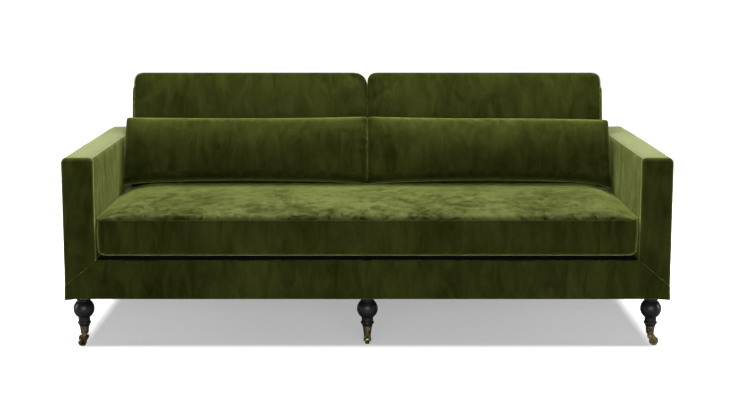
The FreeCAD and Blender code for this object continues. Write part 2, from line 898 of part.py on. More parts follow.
SHOULDER_SHARE = 0.82  # of the crown, where the shoulder meets the top
END_CROWN = 0.12       # of the crown, left at the very end
SHOULDER_VIA = 0.42    # of the shoulder, where its arc is pinned


def seat_section(x, distance):
    """Ring of the seat cushion at x: upright boxing, crowned top in three arcs, flattened underside."""
    share = END_CROWN + (1 - END_CROWN) * rise(distance, value("seat_shoulder"))
    corner = value("seat_corner_pull") * (1 - rise(distance, value("seat_corner_run")))
    pull = value("seat_draw_in") * share + corner
    front = value("front + seat_set_back") + pull
    rear = value("back_foot - seat_rear_gap") - pull
    low = value("deck_top + cushion_gap + seat_under")
    high = low + value("seat_boxing")
    crown = value("seat_crown") * share
    shoulder = value("seat_shoulder")
    ledge = high + SHOULDER_SHARE * crown
    pinned = high + SHOULDER_SHARE * crown * rise(SHOULDER_VIA, 1)
    foot = value("seat_under_shoulder")
    swell = value("seat_under") * (END_CROWN + (1 - END_CROWN) * rise(distance, foot))
    low_pinned = low - swell * rise(SHOULDER_VIA, 1)
    points = [
        Vector(x, front, high),
        Vector(x, front + shoulder, ledge),
        Vector(x, rear - shoulder, ledge),
        Vector(x, rear, high),
        Vector(x, rear, low),
        Vector(x, rear - foot, low - swell),
        Vector(x, front + foot, low - swell),
        Vector(x, front, low),
    ]
    vias = {
        0: Vector(x, front + SHOULDER_VIA * shoulder, pinned),
        1: Vector(x, (front + rear) / 2, high + crown),
        2: Vector(x, rear - SHOULDER_VIA * shoulder, pinned),
        4: Vector(x, rear - SHOULDER_VIA * foot, low_pinned),
        6: Vector(x, front + SHOULDER_VIA * foot, low_pinned),
    }
    return closed_wire(points, vias)


def seat_height_at(y):
    """Height of the seat cushion's crown along its middle, at a depth y."""
    front = value("front + seat_set_back + seat_draw_in")
    rear = value("back_foot - seat_rear_gap - seat_draw_in")
    high = value("deck_top + cushion_gap + seat_under + seat_boxing")
    crown = value("seat_crown")
    shoulder = value("seat_shoulder")
    inset = min(y - front, rear - y)
    if inset < shoulder:
        return high + SHOULDER_SHARE * crown * rise(max(inset, 0), shoulder)
    top = rise(inset - shoulder, (rear - front) / 2 - shoulder)
    return high + crown * (SHOULDER_SHARE + (1 - SHOULDER_SHARE) * top)


def on_slope(x, forward, up):
    """A point measured from the foot of the back: forward square to its slope, and up along it."""
    lean = math.radians(value("back_lean"))
    y = value("back_foot") + up * math.sin(lean) - forward * math.cos(lean)
    z = value("deck_top") + up * math.cos(lean) + forward * math.sin(lean)
    return Vector(x, y, z)


def foot_on_seat(forward):
    """How far up the slope a cushion's foot stands so that it just clears the seat cushion."""
    lean = math.radians(value("back_lean"))
    up = value("seat_boxing")
    for _ in range(20):
        surface = seat_height_at(on_slope(0, forward, up).y) + value("cushion_gap")
        up = (surface - value("deck_top") - forward * math.sin(lean)) / math.cos(lean)
    return up


def back_cushion(side, sign):
    """A box-edged back cushion, its face crowned and its upper corners rounded."""
    near = value("cushion_split") / 2
    far = value("back_half - back_cushion_end_gap")
    rear = value("cushion_gap")
    face = rear + value("back_cushion_boxing")
    foot = foot_on_seat(face)
    radius = value("back_cushion_round")
    sections = []
    shares = (0, 0.03, 0.1, 0.22, 0.38, 0.57, 0.78, 1, 1.2, 1.4)
    for step, distance in stations(far - near, shares, value("back_cushion_shoulder")):
        x = sign * (near + far) / 2 + step
        share = END_CROWN + (1 - END_CROWN) * rise(distance, value("back_cushion_shoulder"))
        corner = radius - math.sqrt(radius ** 2 - max(radius - distance, 0) ** 2)
        top = value("back_cushion_top") - corner - value("back_cushion_draw_in") * share
        swell = value("back_cushion_crown") * share
        points = [
            on_slope(x, rear, foot),
            on_slope(x, face, foot),
            on_slope(x, face, top),
            on_slope(x, rear, top),
        ]
        vias = {1: on_slope(x, face + swell, (foot + top) / 2)}
        sections.append(closed_wire(points, vias))
    lofted(side + "_back_cushion", sections)


def lumbar_pillow(side, sign):
    """A knife-edged pillow: thin at its seam, full in the middle, its edges drawn in between corners."""
    near = value("cushion_split") / 2
    far = value("inner_half - pillow_end_gap")
    half_seam = value("pillow_seam") / 2
    half_thick = value("pillow_thick") / 2
    back_face = value("2 * cushion_gap + back_cushion_boxing + back_cushion_crown")
    middle = back_face + half_thick
    foot = foot_on_seat(middle)
    top = foot + value("pillow_height")
    sections = []
    shares = (0, 0.05, 0.14, 0.27, 0.43, 0.61, 0.8, 1, 1.2, 1.4)
    for step, distance in stations(far - near, shares, value("pillow_shoulder")):
        x = sign * (near + far) / 2 + step
        share = rise(distance, value("pillow_shoulder"))
        full = END_CROWN + (1 - END_CROWN) * math.sqrt(share)
        pull = value("pillow_draw_in") * share
        swell = half_thick * full
        half_way = (foot + top) / 2
        points = [
            on_slope(x, middle - half_seam, foot + pull / 2),
            on_slope(x, middle + half_seam, foot + pull / 2),
            on_slope(x, middle + half_seam, top - pull),
            on_slope(x, middle - half_seam, top - pull),
        ]
        vias = {1: on_slope(x, middle + swell, half_way), 3: on_slope(x, middle - swell, half_way)}
        sections.append(closed_wire(points, vias))
    lofted(side + "_lumbar_pillow", sections)


def cushions():
    """One long seat cushion, and a pair each of back cushions and lumbar pillows."""
    length = value("2 * (inner_half - seat_end_gap)")
    places = stations(length, (0, 0.09, 0.22, 0.38, 0.56, 0.78, 1), value("seat_shoulder"))
    lofted("seat_cushion", [seat_section(x, distance) for x, distance in places])
    for side, sign in SIDES.items():
        back_cushion(side, sign)
        lumbar_pillow(side, sign)


# Legs


def front_leg(spot, x):
    """A turned leg from the top down: collar, cove, ball, shaft, bead, ankle and the caster's spigot."""
    ball_middle = "(leg_top - ball_drop)"
    ball_top = f"{ball_middle} + sqrt(ball_dia ^ 2 - neck_dia ^ 2) / 2"
    ball_low = f"{ball_middle} - sqrt(ball_dia ^ 2 - shaft_top_dia ^ 2) / 2"
    bead_low = "ferrule_top + ankle_height"
    bead_top = f"{bead_low} + bead_thick"
    collar_low = "leg_top - collar_height"
    bore_low = "leg_top - leg_bolt_sink"
    bore = "leg_bolt_dia / 2 + fixing_clearance"
    corners = [
        (bore, "leg_top"),
        ("collar_dia / 2", "leg_top"),
        ("collar_dia / 2", collar_low),
        ("neck_dia / 2", ball_top),
        ("shaft_top_dia / 2", ball_low),
        ("shaft_low_dia / 2", bead_top),
        ("bead_root_dia / 2", bead_top),
        ("bead_root_dia / 2", bead_low),
        ("ankle_dia / 2", "ferrule_top"),
        (spigot_radius("ferrule_top"), "ferrule_top"),
        (spigot_radius("spigot_low"), "spigot_low"),
        ("0", "spigot_low"),
        ("0", bore_low),
        (bore, bore_low),
    ]
    cove_chord = f"sqrt((collar_dia - neck_dia) ^ 2 / 4 + ({collar_low} - ({ball_top})) ^ 2)"
    ankle_chord = "sqrt((bead_root_dia - ankle_dia) ^ 2 / 4 + ankle_height ^ 2)"
    bulges = {
        2: f"-0.75 * {cove_chord}",
        3: "ball_dia / 2",
        6: "0.56 * bead_thick",
        7: f"-1.1 * {ankle_chord}",
    }
    name = f"front_{spot}_leg"
    blank = place(turned(name + "_turning", "XZ_Plane", corners, bulges), x, "leg_front_y")
    pilots = screw_holes(name, spot, "ferrule_screw_dia + 2 * fixing_clearance")
    keep(name, drilled(name, blank, pilots))


def ferrule_radius(height, wall):
    """Radius of the tapered cup at a height, less a wall."""
    return (
        f"(ferrule_low_dia + (ferrule_top_dia - ferrule_low_dia) * (({height}) - ferrule_low)"
        f" / ferrule_height) / 2 - ({wall})"
    )


def spigot_radius(height):
    """Radius of the leg's tapered end inside the cup."""
    return ferrule_radius(height, "ferrule_wall + fixing_clearance")


def rear_leg(spot, x):
    """A plain square leg, tapered and raked back."""
    name = f"rear_{spot}_leg"
    body = new_body(name)

    def square(label, size, rake, lift):
        half = f"{size} / 2"
        flat = f"({half} - rear_leg_round)"
        corners = [
            (f"-{flat}", f"{rake} - {half}"),
            (flat, f"{rake} - {half}"),
            (half, f"{rake} - {flat}"),
            (half, f"{rake} + {flat}"),
            (flat, f"{rake} + {half}"),
            (f"-{flat}", f"{rake} + {half}"),
            (f"-{half}", f"{rake} + {flat}"),
            (f"-{half}", f"{rake} - {flat}"),
        ]
        rounds = {side: "-rear_leg_round" for side in (1, 3, 5, 7)}
        return draw(body, f"{name}_{label}", "XY_Plane", corners, rounds, lift)

    loft = body.newObject("PartDesign::AdditiveLoft", name + "_loft")
    loft.Profile = square("toe", "rear_leg_toe", "rear_leg_rake", "0")
    loft.Sections = [square("head", "rear_leg_top", "0", "leg_top")]
    loft.Ruled = True
    doc.recompute()
    place(body, x, "leg_rear_y")
    dia = "leg_bolt_dia + 2 * fixing_clearance"
    bore = rod(name + "_bore", "z", x, "leg_rear_y", "leg_top - leg_bolt_sink", dia, "leg_bolt_sink")
    keep(name, drilled(name + "_bored", body, [bore]))


def leg_fixings():
    """Hanger bolts up through the dust cover into threaded inserts in the frame."""
    bolts = []
    inserts = []
    for end, y in LEG_ROWS.items():
        for spot, x in CASTERS.items():
            name = f"{end}_{spot}"
            low = "leg_top - leg_bolt_sink + bore_spare"
            length = f"frame_low + insert_length - ({low})"
            bolts.append(rod(name + "_bolt", "z", x, y, low, "leg_bolt_dia", length))
            shell = rod(name + "_insert_blank", "z", x, y, "frame_low", "insert_dia", "insert_length")
            dia = "leg_bolt_dia + 2 * fixing_clearance"
            hole = rod(name + "_insert_bore", "z", x, y, "frame_low", dia, "insert_length")
            inserts.append(drilled(name + "_insert", shell, [hole]))
    keep("leg_bolts", group("leg_bolts", bolts))
    keep("leg_inserts", group("leg_inserts", inserts))


def arm_bolts():
    """Bolts with hexagon heads and nuts that hold each arm to its side rail."""
    bolts = []
    grip = "arm_core_in - seat_box_half + board_thick"
    for side, sign in SIDES.items():
        for number, y in enumerate(arm_bolt_places()):
            name = f"{side}_arm_bolt{number}"
            z = "frame_low + arm_bolt_height"
            low = "-arm_core_in" if side == "left" else "seat_box_half - board_thick"
            shank = rod(name + "_shank", "x", low, y, z, "arm_bolt_dia", grip)
            ends = []
            for label, x in (("low", f"{low} - arm_bolt_head_height"), ("high", f"{low} + {grip}")):
                end = doc.addObject("Part::Prism", f"{name}_{label}")
                end.Polygon = 6
                end.Placement = FreeCAD.Placement(Vector(), Rotation(Vector(0, 1, 0), 90))
                bind(end, Circumradius="arm_bolt_head / sqrt(3)", Height="arm_bolt_head_height")
                ends.append(place(end, x, y, z))
            bolt = doc.addObject("Part::MultiFuse", name)
            bolt.Shapes = [shank] + ends
            bolts.append(bolt)
    keep("arm_bolts", group("arm_bolts", bolts))


# Casters


def screw_direction(number):
    """Which way a ferrule's screw points outwards; the second stands opposite the first."""
    angle = math.radians(value("ferrule_screw_turn") + 180 * number)
    return Vector(math.cos(angle), math.sin(angle), 0)


def screw_places(spot):
    """Where the inner tip of each of a ferrule's screws lies, and the way it points."""
    height = "ferrule_low + ferrule_screw_height"
    edge = f"{height} + ferrule_screw_head / 2"
    seat = value(ferrule_radius(edge, "0")) + value("ferrule_screw_stand")
    axis = Vector(value(CASTERS[spot]), value("leg_front_y"), value(height))
    tip = seat - value("ferrule_screw_length")
    return [(axis + screw_direction(number) * tip, screw_direction(number)) for number in range(2)]


def screw_holes(name, spot, dia):
    """Rods that drill a ferrule or leg for its two screws."""
    tools = []
    for number, (tip, direction) in enumerate(screw_places(spot)):
        tool = doc.addObject("Part::Cylinder", f"{name}_screw_hole{number}")
        bind(tool, Radius=f"({dia}) / 2", Height="ferrule_screw_length + ferrule_screw_head")
        tool.Placement = FreeCAD.Placement(tip - direction, Rotation(Vector(0, 0, 1), direction))
        tools.append(tool)
    return tools


def ferrule_screws():
    """Round-headed screws through the cups into the legs."""
    length = "ferrule_screw_length"
    head = "ferrule_screw_head / 2"
    crest = f"{length} + ferrule_screw_head_height"
    corners = [
        ("0", "0"),
        ("ferrule_screw_dia / 2", "0"),
        ("ferrule_screw_dia / 2", length),
        (head, length),
        ("0", crest),
    ]
    dome = "(ferrule_screw_head ^ 2 / 4 + ferrule_screw_head_height ^ 2) / (2 * ferrule_screw_head_height)"
    screws = []
    for spot in CASTERS:
        for number, (tip, direction) in enumerate(screw_places(spot)):
            name = f"{spot}_ferrule_screw{number}"
            screw = turned(name, "XZ_Plane", corners, {3: f"-({dome})"})
            screw.Placement = FreeCAD.Placement(tip, Rotation(Vector(0, 0, 1), direction))
            screws.append(screw)
    keep("ferrule_screws", group("ferrule_screws", screws))


def ferrule(spot, x):
    """A tapered brass cup with a rolled rim, and a floor bored for the king pin."""
    bore = "king_pin_dia / 2 + running_clearance"
    rim_low = "ferrule_top - ferrule_rim"
    corners = [
        (bore, "ferrule_low"),
        ("ferrule_low_dia / 2 - ferrule_chamfer", "ferrule_low"),
        (ferrule_radius("ferrule_low + ferrule_chamfer", "0"), "ferrule_low + ferrule_chamfer"),
        (ferrule_radius(rim_low, "0"), rim_low),
        (ferrule_radius("ferrule_top", "0"), "ferrule_top"),
        (ferrule_radius("ferrule_top", "ferrule_wall"), "ferrule_top"),
        (ferrule_radius("ferrule_inside", "ferrule_wall"), "ferrule_inside"),
        (bore, "ferrule_inside"),
    ]
    name = spot + "_caster_ferrule"
    blank = turned(name + "_turning", "XZ_Plane", corners, {3: "-0.6 * ferrule_rim"})
    place(blank, x, "leg_front_y")
    holes = screw_holes(name, spot, "ferrule_screw_dia + 4 * fixing_clearance")
    keep(name, drilled(name, blank, holes))


def horn(spot, x):
    """The swivelling horn: two cheeks under a crown, with a king pin riveted over inside the cup."""
    name = spot + "_caster_horn"
    body = new_body(name)
    ear = "ear_dia / 2"
    tail = f"caster_trail + {ear}"
    side_view = [
        ("-crown_nose", "crown_low - crown_thick"),
        ("-crown_nose", "crown_top - crown_thick / 2"),
        ("crown_thick / 2 - crown_nose", "crown_top"),
        ("caster_trail", "crown_top"),
        (tail, "crown_low - crown_thick"),
        (tail, "wheel_radius"),
        ("caster_trail", f"wheel_radius - {ear}"),
        (f"caster_trail - {ear}", "wheel_radius"),
    ]
    outline = draw(body, name + "_side_view", "XZ_Plane", side_view, {5: ear, 6: ear})
    pad(body, outline, "fork_width", both_ways=True)
    half_gap = "fork_gap / 2"
    slot = [
        (f"-{half_gap}", "-crown_low"),
        (half_gap, "-crown_low"),
        (half_gap, "crown_low"),
        (f"-{half_gap}", "crown_low"),
    ]
    pocket(body, draw(body, name + "_slot", "YZ_Plane", slot), "4 * (caster_trail + crown_nose)", True)
    pin = [
        ("0", "crown_low"),
        ("boss_dia / 2", "crown_low"),
        ("boss_dia / 2", "boss_top"),
        ("king_pin_dia / 2", "boss_top"),
        ("king_pin_dia / 2", "pin_head_low"),
        ("king_pin_head_dia / 2", "pin_head_low"),
        ("king_pin_head_dia / 2", "pin_head_top"),
        ("0", "pin_head_top"),
    ]
    turn_profile(body, draw(body, name + "_pin", "XZ_Plane", pin))
    place(body, x, "leg_front_y", turn=f"{spot}_caster_turn")
    dia = "axle_dia + 2 * fixing_clearance"
    hole = doc.addObject("Part::Cylinder", name + "_axle_hole")
    bind(hole, Radius=f"({dia}) / 2", Height="2 * fork_width")
    turn = value(f"{spot}_caster_turn")
    across = Rotation(Vector(0, 0, 1), turn) * Rotation(Vector(1, 0, 0), -90)
    low = across.multVec(Vector(0, 0, -value("fork_width")))
    hole.Placement = FreeCAD.Placement(axle_middle(spot) + low, across)
    keep(name, drilled(name + "_bored", body, [hole]))


def axle_middle(spot):
    """The middle of a caster's axle."""
    turn = math.radians(value(f"{spot}_caster_turn"))
    trail = value("caster_trail")
    x = value(CASTERS[spot]) + trail * math.cos(turn)
    y = value("leg_front_y") + trail * math.sin(turn)
    return Vector(x, y, value("wheel_radius"))


def on_axle(spot, x, body):
    """Place a piece turned about the axle."""
    turn = f"{spot}_caster_turn"
    return place(
        body,
        f"{x} + caster_trail * cos({turn})",
        f"leg_front_y + caster_trail * sin({turn})",
        "wheel_radius",
        turn=turn,
    )


def axle(spot, x):
    """A pin riveted over at both ends."""
    shank = "axle_dia / 2"
    head = "axle_head_dia / 2"
    face = "fork_width / 2"
    tip = "fork_width / 2 + axle_head_thick"
    corners = [
        ("0", f"-({tip})"),
        (shank, f"-({tip})"),
        (head, f"-({face})"),
        (shank, f"-({face})"),
        (shank, face),
        (head, face),
        (shank, tip),
        ("0", tip),
    ]
    name = spot + "_caster_axle"
    keep(name, on_axle(spot, x, turned(name, "XY_Plane", corners)))


def wheel(spot, x):
    """A brass wheel with a crowned tread, a hub and a recessed web."""
    bore = "axle_dia / 2 + running_clearance"
    hub = "hub_dia / 2"
    edge = "wheel_radius - tread_crown"
    rim = f"{edge} - rim_thick"
    half = "wheel_width / 2"
    web = f"{half} - web_recess"
    outer = [(hub, half), (hub, web), (rim, web), (rim, half), (edge, half)]
    corners = [(bore, f"-({half})")] + [(radius, f"-({along})") for radius, along in outer]
    corners += list(reversed(outer)) + [(bore, half)]
    tread = "(wheel_width ^ 2 / 4 + tread_crown ^ 2) / (2 * tread_crown)"
    name = spot + "_caster_wheel"
    keep(name, on_axle(spot, x, turned(name, "XY_Plane", corners, {5: f"-({tread})"})))


def casters():
    """Cup, horn, axle and wheel on each front leg, and a fibre washer at each swivel."""
    washers = []
    for spot, x in CASTERS.items():
        ferrule(spot, x)
        horn(spot, x)
        axle(spot, x)
        wheel(spot, x)
        inner = "king_pin_dia / 2 + washer_clearance"
        low = "boss_top + swivel_gap"
        high = f"{low} + washer_thick"
        corners = [(inner, low), ("washer_dia / 2", low), ("washer_dia / 2", high), (inner, high)]
        washers.append(place(turned(spot + "_washer", "XZ_Plane", corners), x, "leg_front_y"))
    keep("swivel_washers", group("swivel_washers", washers))
    ferrule_screws()


def write_parts():
    """Check every object and piece, then write one file for each node."""
    doc.recompute()
    failed = [thing.Name for thing in doc.Objects if {"Invalid", "Error"} & set(thing.State)]
    assert not failed, f"failed objects: {failed}"
    for name, thing in pieces.items():
        shape = thing.Shape
        sound = not shape.isNull() and shape.isValid() and shape.Solids
        assert sound and all(solid.Volume > 0 for solid in shape.Solids), f"{name} is no sound solid"
    os.makedirs("parts", exist_ok=True)
    for name, thing in pieces.items():
        thing.Shape.exportStep(f"parts/{name}.step")
        print(f"{name}: {len(thing.Shape.Solids)} solid(s), {thing.Shape.Volume / 1000:.1f} cm3")
    print(f"{len(pieces)} nodes")


seat_box()
arm_frames()
back_frame()
springs()
deck()
arm_upholstery()
front_panels()
back_upholstery()
cushions()
for spot, x in CASTERS.items():
    front_leg(spot, x)
    rear_leg(spot, x)
leg_fixings()
arm_bolts()
casters()
write_parts()
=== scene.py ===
"""Track arm sofa in olive velvet, on turned legs with brass casters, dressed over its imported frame.

Everything is in metres: +Z is up, the front faces -Y, and the origin is on the floor under the middle.
"""
import bmesh
import bpy
import json
import math
import numpy as np
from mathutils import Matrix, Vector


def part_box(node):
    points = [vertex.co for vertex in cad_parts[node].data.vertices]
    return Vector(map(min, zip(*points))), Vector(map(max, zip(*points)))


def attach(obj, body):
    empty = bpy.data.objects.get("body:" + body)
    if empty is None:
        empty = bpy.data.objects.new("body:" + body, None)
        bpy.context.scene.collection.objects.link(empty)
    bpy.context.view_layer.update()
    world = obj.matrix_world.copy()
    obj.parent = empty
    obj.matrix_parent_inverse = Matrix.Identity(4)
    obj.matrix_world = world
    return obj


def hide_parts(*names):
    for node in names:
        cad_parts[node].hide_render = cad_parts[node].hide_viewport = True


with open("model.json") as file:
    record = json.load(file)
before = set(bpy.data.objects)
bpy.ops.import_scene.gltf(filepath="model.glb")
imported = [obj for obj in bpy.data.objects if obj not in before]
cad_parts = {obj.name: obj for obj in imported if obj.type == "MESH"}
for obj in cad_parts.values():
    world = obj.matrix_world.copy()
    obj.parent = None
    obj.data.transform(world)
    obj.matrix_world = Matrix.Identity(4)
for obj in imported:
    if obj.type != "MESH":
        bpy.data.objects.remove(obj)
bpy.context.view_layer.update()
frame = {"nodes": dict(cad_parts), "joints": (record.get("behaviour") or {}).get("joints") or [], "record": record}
nodes = frame["nodes"]
scene = bpy.context.scene
scene.view_settings.view_transform = "Standard"

# Landmarks read from the frame

ARM_LOW, ARM_HIGH = (np.array(corner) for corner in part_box("right_arm_cover"))
FRONT_LOW, FRONT_HIGH = (np.array(corner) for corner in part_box("front_border"))
SEAT_LOW, SEAT_HIGH = (np.array(corner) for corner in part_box("seat_cushion"))
DECK_LOW, DECK_HIGH = (np.array(corner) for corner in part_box("deck_cover"))
BACK_LOW, BACK_HIGH = (np.array(corner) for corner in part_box("back_cover"))
REAR_LOW, REAR_HIGH = (np.array(corner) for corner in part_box("outside_back"))
DUST_LOW, DUST_HIGH = (np.array(corner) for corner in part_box("dust_cover"))
SLOPE = next(joint["axis"] for joint in frame["joints"] if joint["name"] == "left_back_cushion_lift")
LEAN_SINE, LEAN_COSINE = SLOPE[1], SLOPE[2]
MITRE_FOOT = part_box("right_arm_front")[0].z


def on_slope(x, forward, up):
    """Points measured from the foot of the back: forward square to its slope, and up along it."""
    y = BACK_LOW[1] + up * LEAN_SINE - forward * LEAN_COSINE
    z = DECK_HIGH[2] + up * LEAN_COSINE + forward * LEAN_SINE
    return np.stack(np.broadcast_arrays(x, y, z), axis=-1)


# Surfaces


def quads(numbers, wrap=False):
    """Four corners for each cell of a grid of vertex numbers; wrap joins its last column to its first."""
    if wrap:
        numbers = np.concatenate([numbers, numbers[:, :1]], axis=1)
    corners = numbers[:-1, :-1], numbers[:-1, 1:], numbers[1:, 1:], numbers[1:, :-1]
    return np.stack(corners, axis=-1).reshape(-1, 4)


def piece(name, points, faces, material, body, replaced=(), merge=False):
    """A smooth mesh object at the origin that rides on a body and stands for CAD nodes."""
    mesh = bpy.data.meshes.new(name)
    mesh.from_pydata(np.asarray(points, float).reshape(-1, 3), [], faces)
    work = bmesh.new()
    work.from_mesh(mesh)
    if merge:
        bmesh.ops.remove_doubles(work, verts=work.verts, dist=1e-6)
    bmesh.ops.recalc_face_normals(work, faces=work.faces)
    work.to_mesh(mesh)
    work.free()
    mesh.polygons.foreach_set("use_smooth", np.ones(len(mesh.polygons), bool))
    mesh.materials.append(material)
    thing = bpy.data.objects.new(name, mesh)
    scene.collection.objects.link(thing)
    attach(thing, body)
    if replaced:
        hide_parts(*replaced)
    return thing


def ripple(points, size, seed):
    """A smooth field from about -1 to 1: five sine waves of about one size, in seeded directions."""
    random = np.random.default_rng(seed)
    ways = random.normal(size=(5, 3))
    ways *= (2 * np.pi / size * random.uniform(0.6, 1.5, 5) / np.linalg.norm(ways, axis=1))[:, None]
    shifts = random.uniform(0, 2 * np.pi, 5)
    return np.sin(points @ ways.T + shifts).sum(axis=-1) / 3


def edge_drop(distance, radius):
    """How far a quarter round of that radius falls below the face, at a distance in from the edge."""
    inner = radius - np.clip(distance, 0, radius)
    return radius - np.sqrt(np.maximum(radius ** 2 - inner ** 2, 0))


def rise(distance, shoulder):
    """A parabola that climbs from 0 at the edge to 1 at the shoulder and stays there."""
    return 1 - (1 - np.clip(distance / shoulder, 0, 1)) ** 2


def spread(half, step, fine):
    """Places from -half to half: set close near both ends, then about a step apart."""
    near = np.asarray(fine)
    middle = half - near[-1]
    count = max(int(round(2 * middle / step)), 2)
    return np.concatenate([near - half, np.linspace(-middle, middle, count + 1)[1:-1], half - near[::-1]])


def rounded_plan(a, b, half_a, half_b, radius):
    """Carry a rectangle's grid onto one with rounded corners.

    Inside each corner square, concentric squares become concentric arcs: the offset from the arc's middle
    is scaled by its larger part over its length.
    """
    over_a = np.maximum(np.abs(a) - (half_a - radius), 0)
    over_b = np.maximum(np.abs(b) - (half_b - radius), 0)
    scale = np.maximum(over_a, over_b) / np.maximum(np.hypot(over_a, over_b), 1e-9)
    scale = np.where((over_a > 0) & (over_b > 0), scale, 1)
    round_a = np.sign(a) * (np.minimum(np.abs(a), half_a - radius) + over_a * scale)
    round_b = np.sign(b) * (np.minimum(np.abs(b), half_b - radius) + over_b * scale)
    return round_a, round_b


class Shell:
    """A closed box-edged shell: a face grid, a back grid and rows of boxing between their rims.

    points holds (across, along, height) before they are carried to their place. The boxing bows out by
    the belly, as half a sine wave from rim to rim.
    """

    def __init__(self, a, b, plan, face, back, rows, belly=0.0):
        grid_a, grid_b = np.meshgrid(a, b, indexing="ij")
        plan_a, plan_b = plan(grid_a, grid_b)
        count = grid_a.size
        numbers = np.arange(count).reshape(grid_a.shape)
        rim = np.concatenate([numbers[:, 0], numbers[-1, 1:], numbers[-2::-1, -1], numbers[0, -2:0:-1]])
        front = np.stack([plan_a, plan_b, face(grid_a, grid_b)], axis=-1).reshape(-1, 3)
        rear = np.stack([plan_a, plan_b, back(grid_a, grid_b)], axis=-1).reshape(-1, 3)
        shares = np.arange(1, rows)[:, None, None] / rows
        wall = rear[rim] + (front[rim] - rear[rim]) * shares
        way = np.roll(front[rim, :2], -1, axis=0) - np.roll(front[rim, :2], 1, axis=0)
        way /= np.linalg.norm(way, axis=1)[:, None]
        wall[..., :2] += belly * np.sin(np.pi * shares) * np.stack([way[:, 1], -way[:, 0]], axis=-1)
        self.points = np.concatenate([front, rear, wall.reshape(-1, 3)])
        self.rim = rim
        self.back_rim = rim + count
        self.count = count
        self.sides = np.concatenate([rim, np.arange(count, len(self.points))])
        rings = [self.back_rim] + list(2 * count + np.arange((rows - 1) * len(rim)).reshape(-1, len(rim)))
        rings = np.array(rings + [rim])
        self.faces = np.concatenate([
            quads(numbers.T),
            quads(numbers + count),
            quads(rings, wrap=True),
        ])


def closed_tube(path, radius, lift, sides=8):
    """A thin welt along a closed path: a circle in the plane of lift and the sideways direction."""
    way = np.roll(path, -1, axis=0) - np.roll(path, 1, axis=0)
    way /= np.linalg.norm(way, axis=1)[:, None]
    side = np.cross(way, lift)
    side /= np.linalg.norm(side, axis=1)[:, None]
    up = np.cross(side, way)
    turn = np.linspace(0, 2 * np.pi, sides, endpoint=False)[:, None, None]
    rings = path + radius * (np.cos(turn) * side + np.sin(turn) * up)
    count = len(path)
    numbers = np.arange(sides * count).reshape(sides, count)
    numbers = np.concatenate([numbers, numbers[:1]])
    return rings, quads(numbers, wrap=True)


def swollen(name, points, faces, pressure, spare, steps, cap, held):
    """The points of a shell after its cover is blown up as cloth, eased back so that none passes the cap.

    spare is how much larger the cloth is cut than the shell, and held lists points that stay put. The
    whole movement is scaled down together, so that its furthest point meets the cap.
    """
    mesh = bpy.data.meshes.new(name)
    mesh.from_pydata(points, [], faces)
    thing = bpy.data.objects.new(name, mesh)
    scene.collection.objects.link(thing)
    cloth = thing.modifiers.new("cloth", "CLOTH")
    settings = cloth.settings
    settings.quality = 5
    settings.tension_stiffness = 18
    settings.compression_stiffness = 18
    settings.shear_stiffness = 8
    settings.bending_stiffness = 0.4
    settings.use_pressure = True
    settings.uniform_pressure_force = pressure
    settings.shrink_min = -spare
    settings.effector_weights.gravity = 0
    cloth.collision_settings.use_collision = False
    group = thing.vertex_groups.new(name="held")
    group.add([int(number) for number in held], 1.0, "REPLACE")
    settings.vertex_group_mass = "held"
    cloth.point_cache.frame_start = 1
    cloth.point_cache.frame_end = steps
    for step in range(1, steps + 1):
        scene.frame_set(step)
    shaped = thing.evaluated_get(bpy.context.evaluated_depsgraph_get())
    result = np.zeros(len(points) * 3, np.float32)
    shaped.data.vertices.foreach_get("co", result)
    moved = result.reshape(-1, 3) - points
    furthest = np.linalg.norm(moved, axis=1).max()
    bpy.data.objects.remove(thing)
    scene.frame_set(1)
    return points + moved * min(1, cap / furthest)


def filled(points, *halves):
    """The points stretched about their middle, axis by axis, until they reach the given halves."""
    return points * (np.array(halves) / np.abs(points).max(axis=0))


# Finishes


def node(tree, kind, **inputs):
    """A shader node with its inputs set or linked.

    An input goes by its name, with _ for a space, or by its number, as i0, i1 and so on.
    """
    made = tree.nodes.new(kind)
    for name, given in inputs.items():
        numbered = name[0] == "i" and name[1:].isdigit()
        socket = made.inputs[int(name[1:]) if numbered else name.replace("_", " ")]
        if isinstance(given, bpy.types.NodeSocket):
            tree.links.new(given, socket)
        else:
            socket.default_value = given
    return made


def new_group(name, inputs, outputs):
    """An empty shader group with named sockets."""
    group = bpy.data.node_groups.new(name, "ShaderNodeTree")
    for label, kind, start in inputs:
        socket = group.interface.new_socket(label, in_out="INPUT", socket_type="NodeSocket" + kind)
        if start is not None:
            socket.default_value = start
    for label, kind in outputs:
        group.interface.new_socket(label, in_out="OUTPUT", socket_type="NodeSocket" + kind)
    return group, group.nodes.new("NodeGroupInput"), group.nodes.new("NodeGroupOutput")


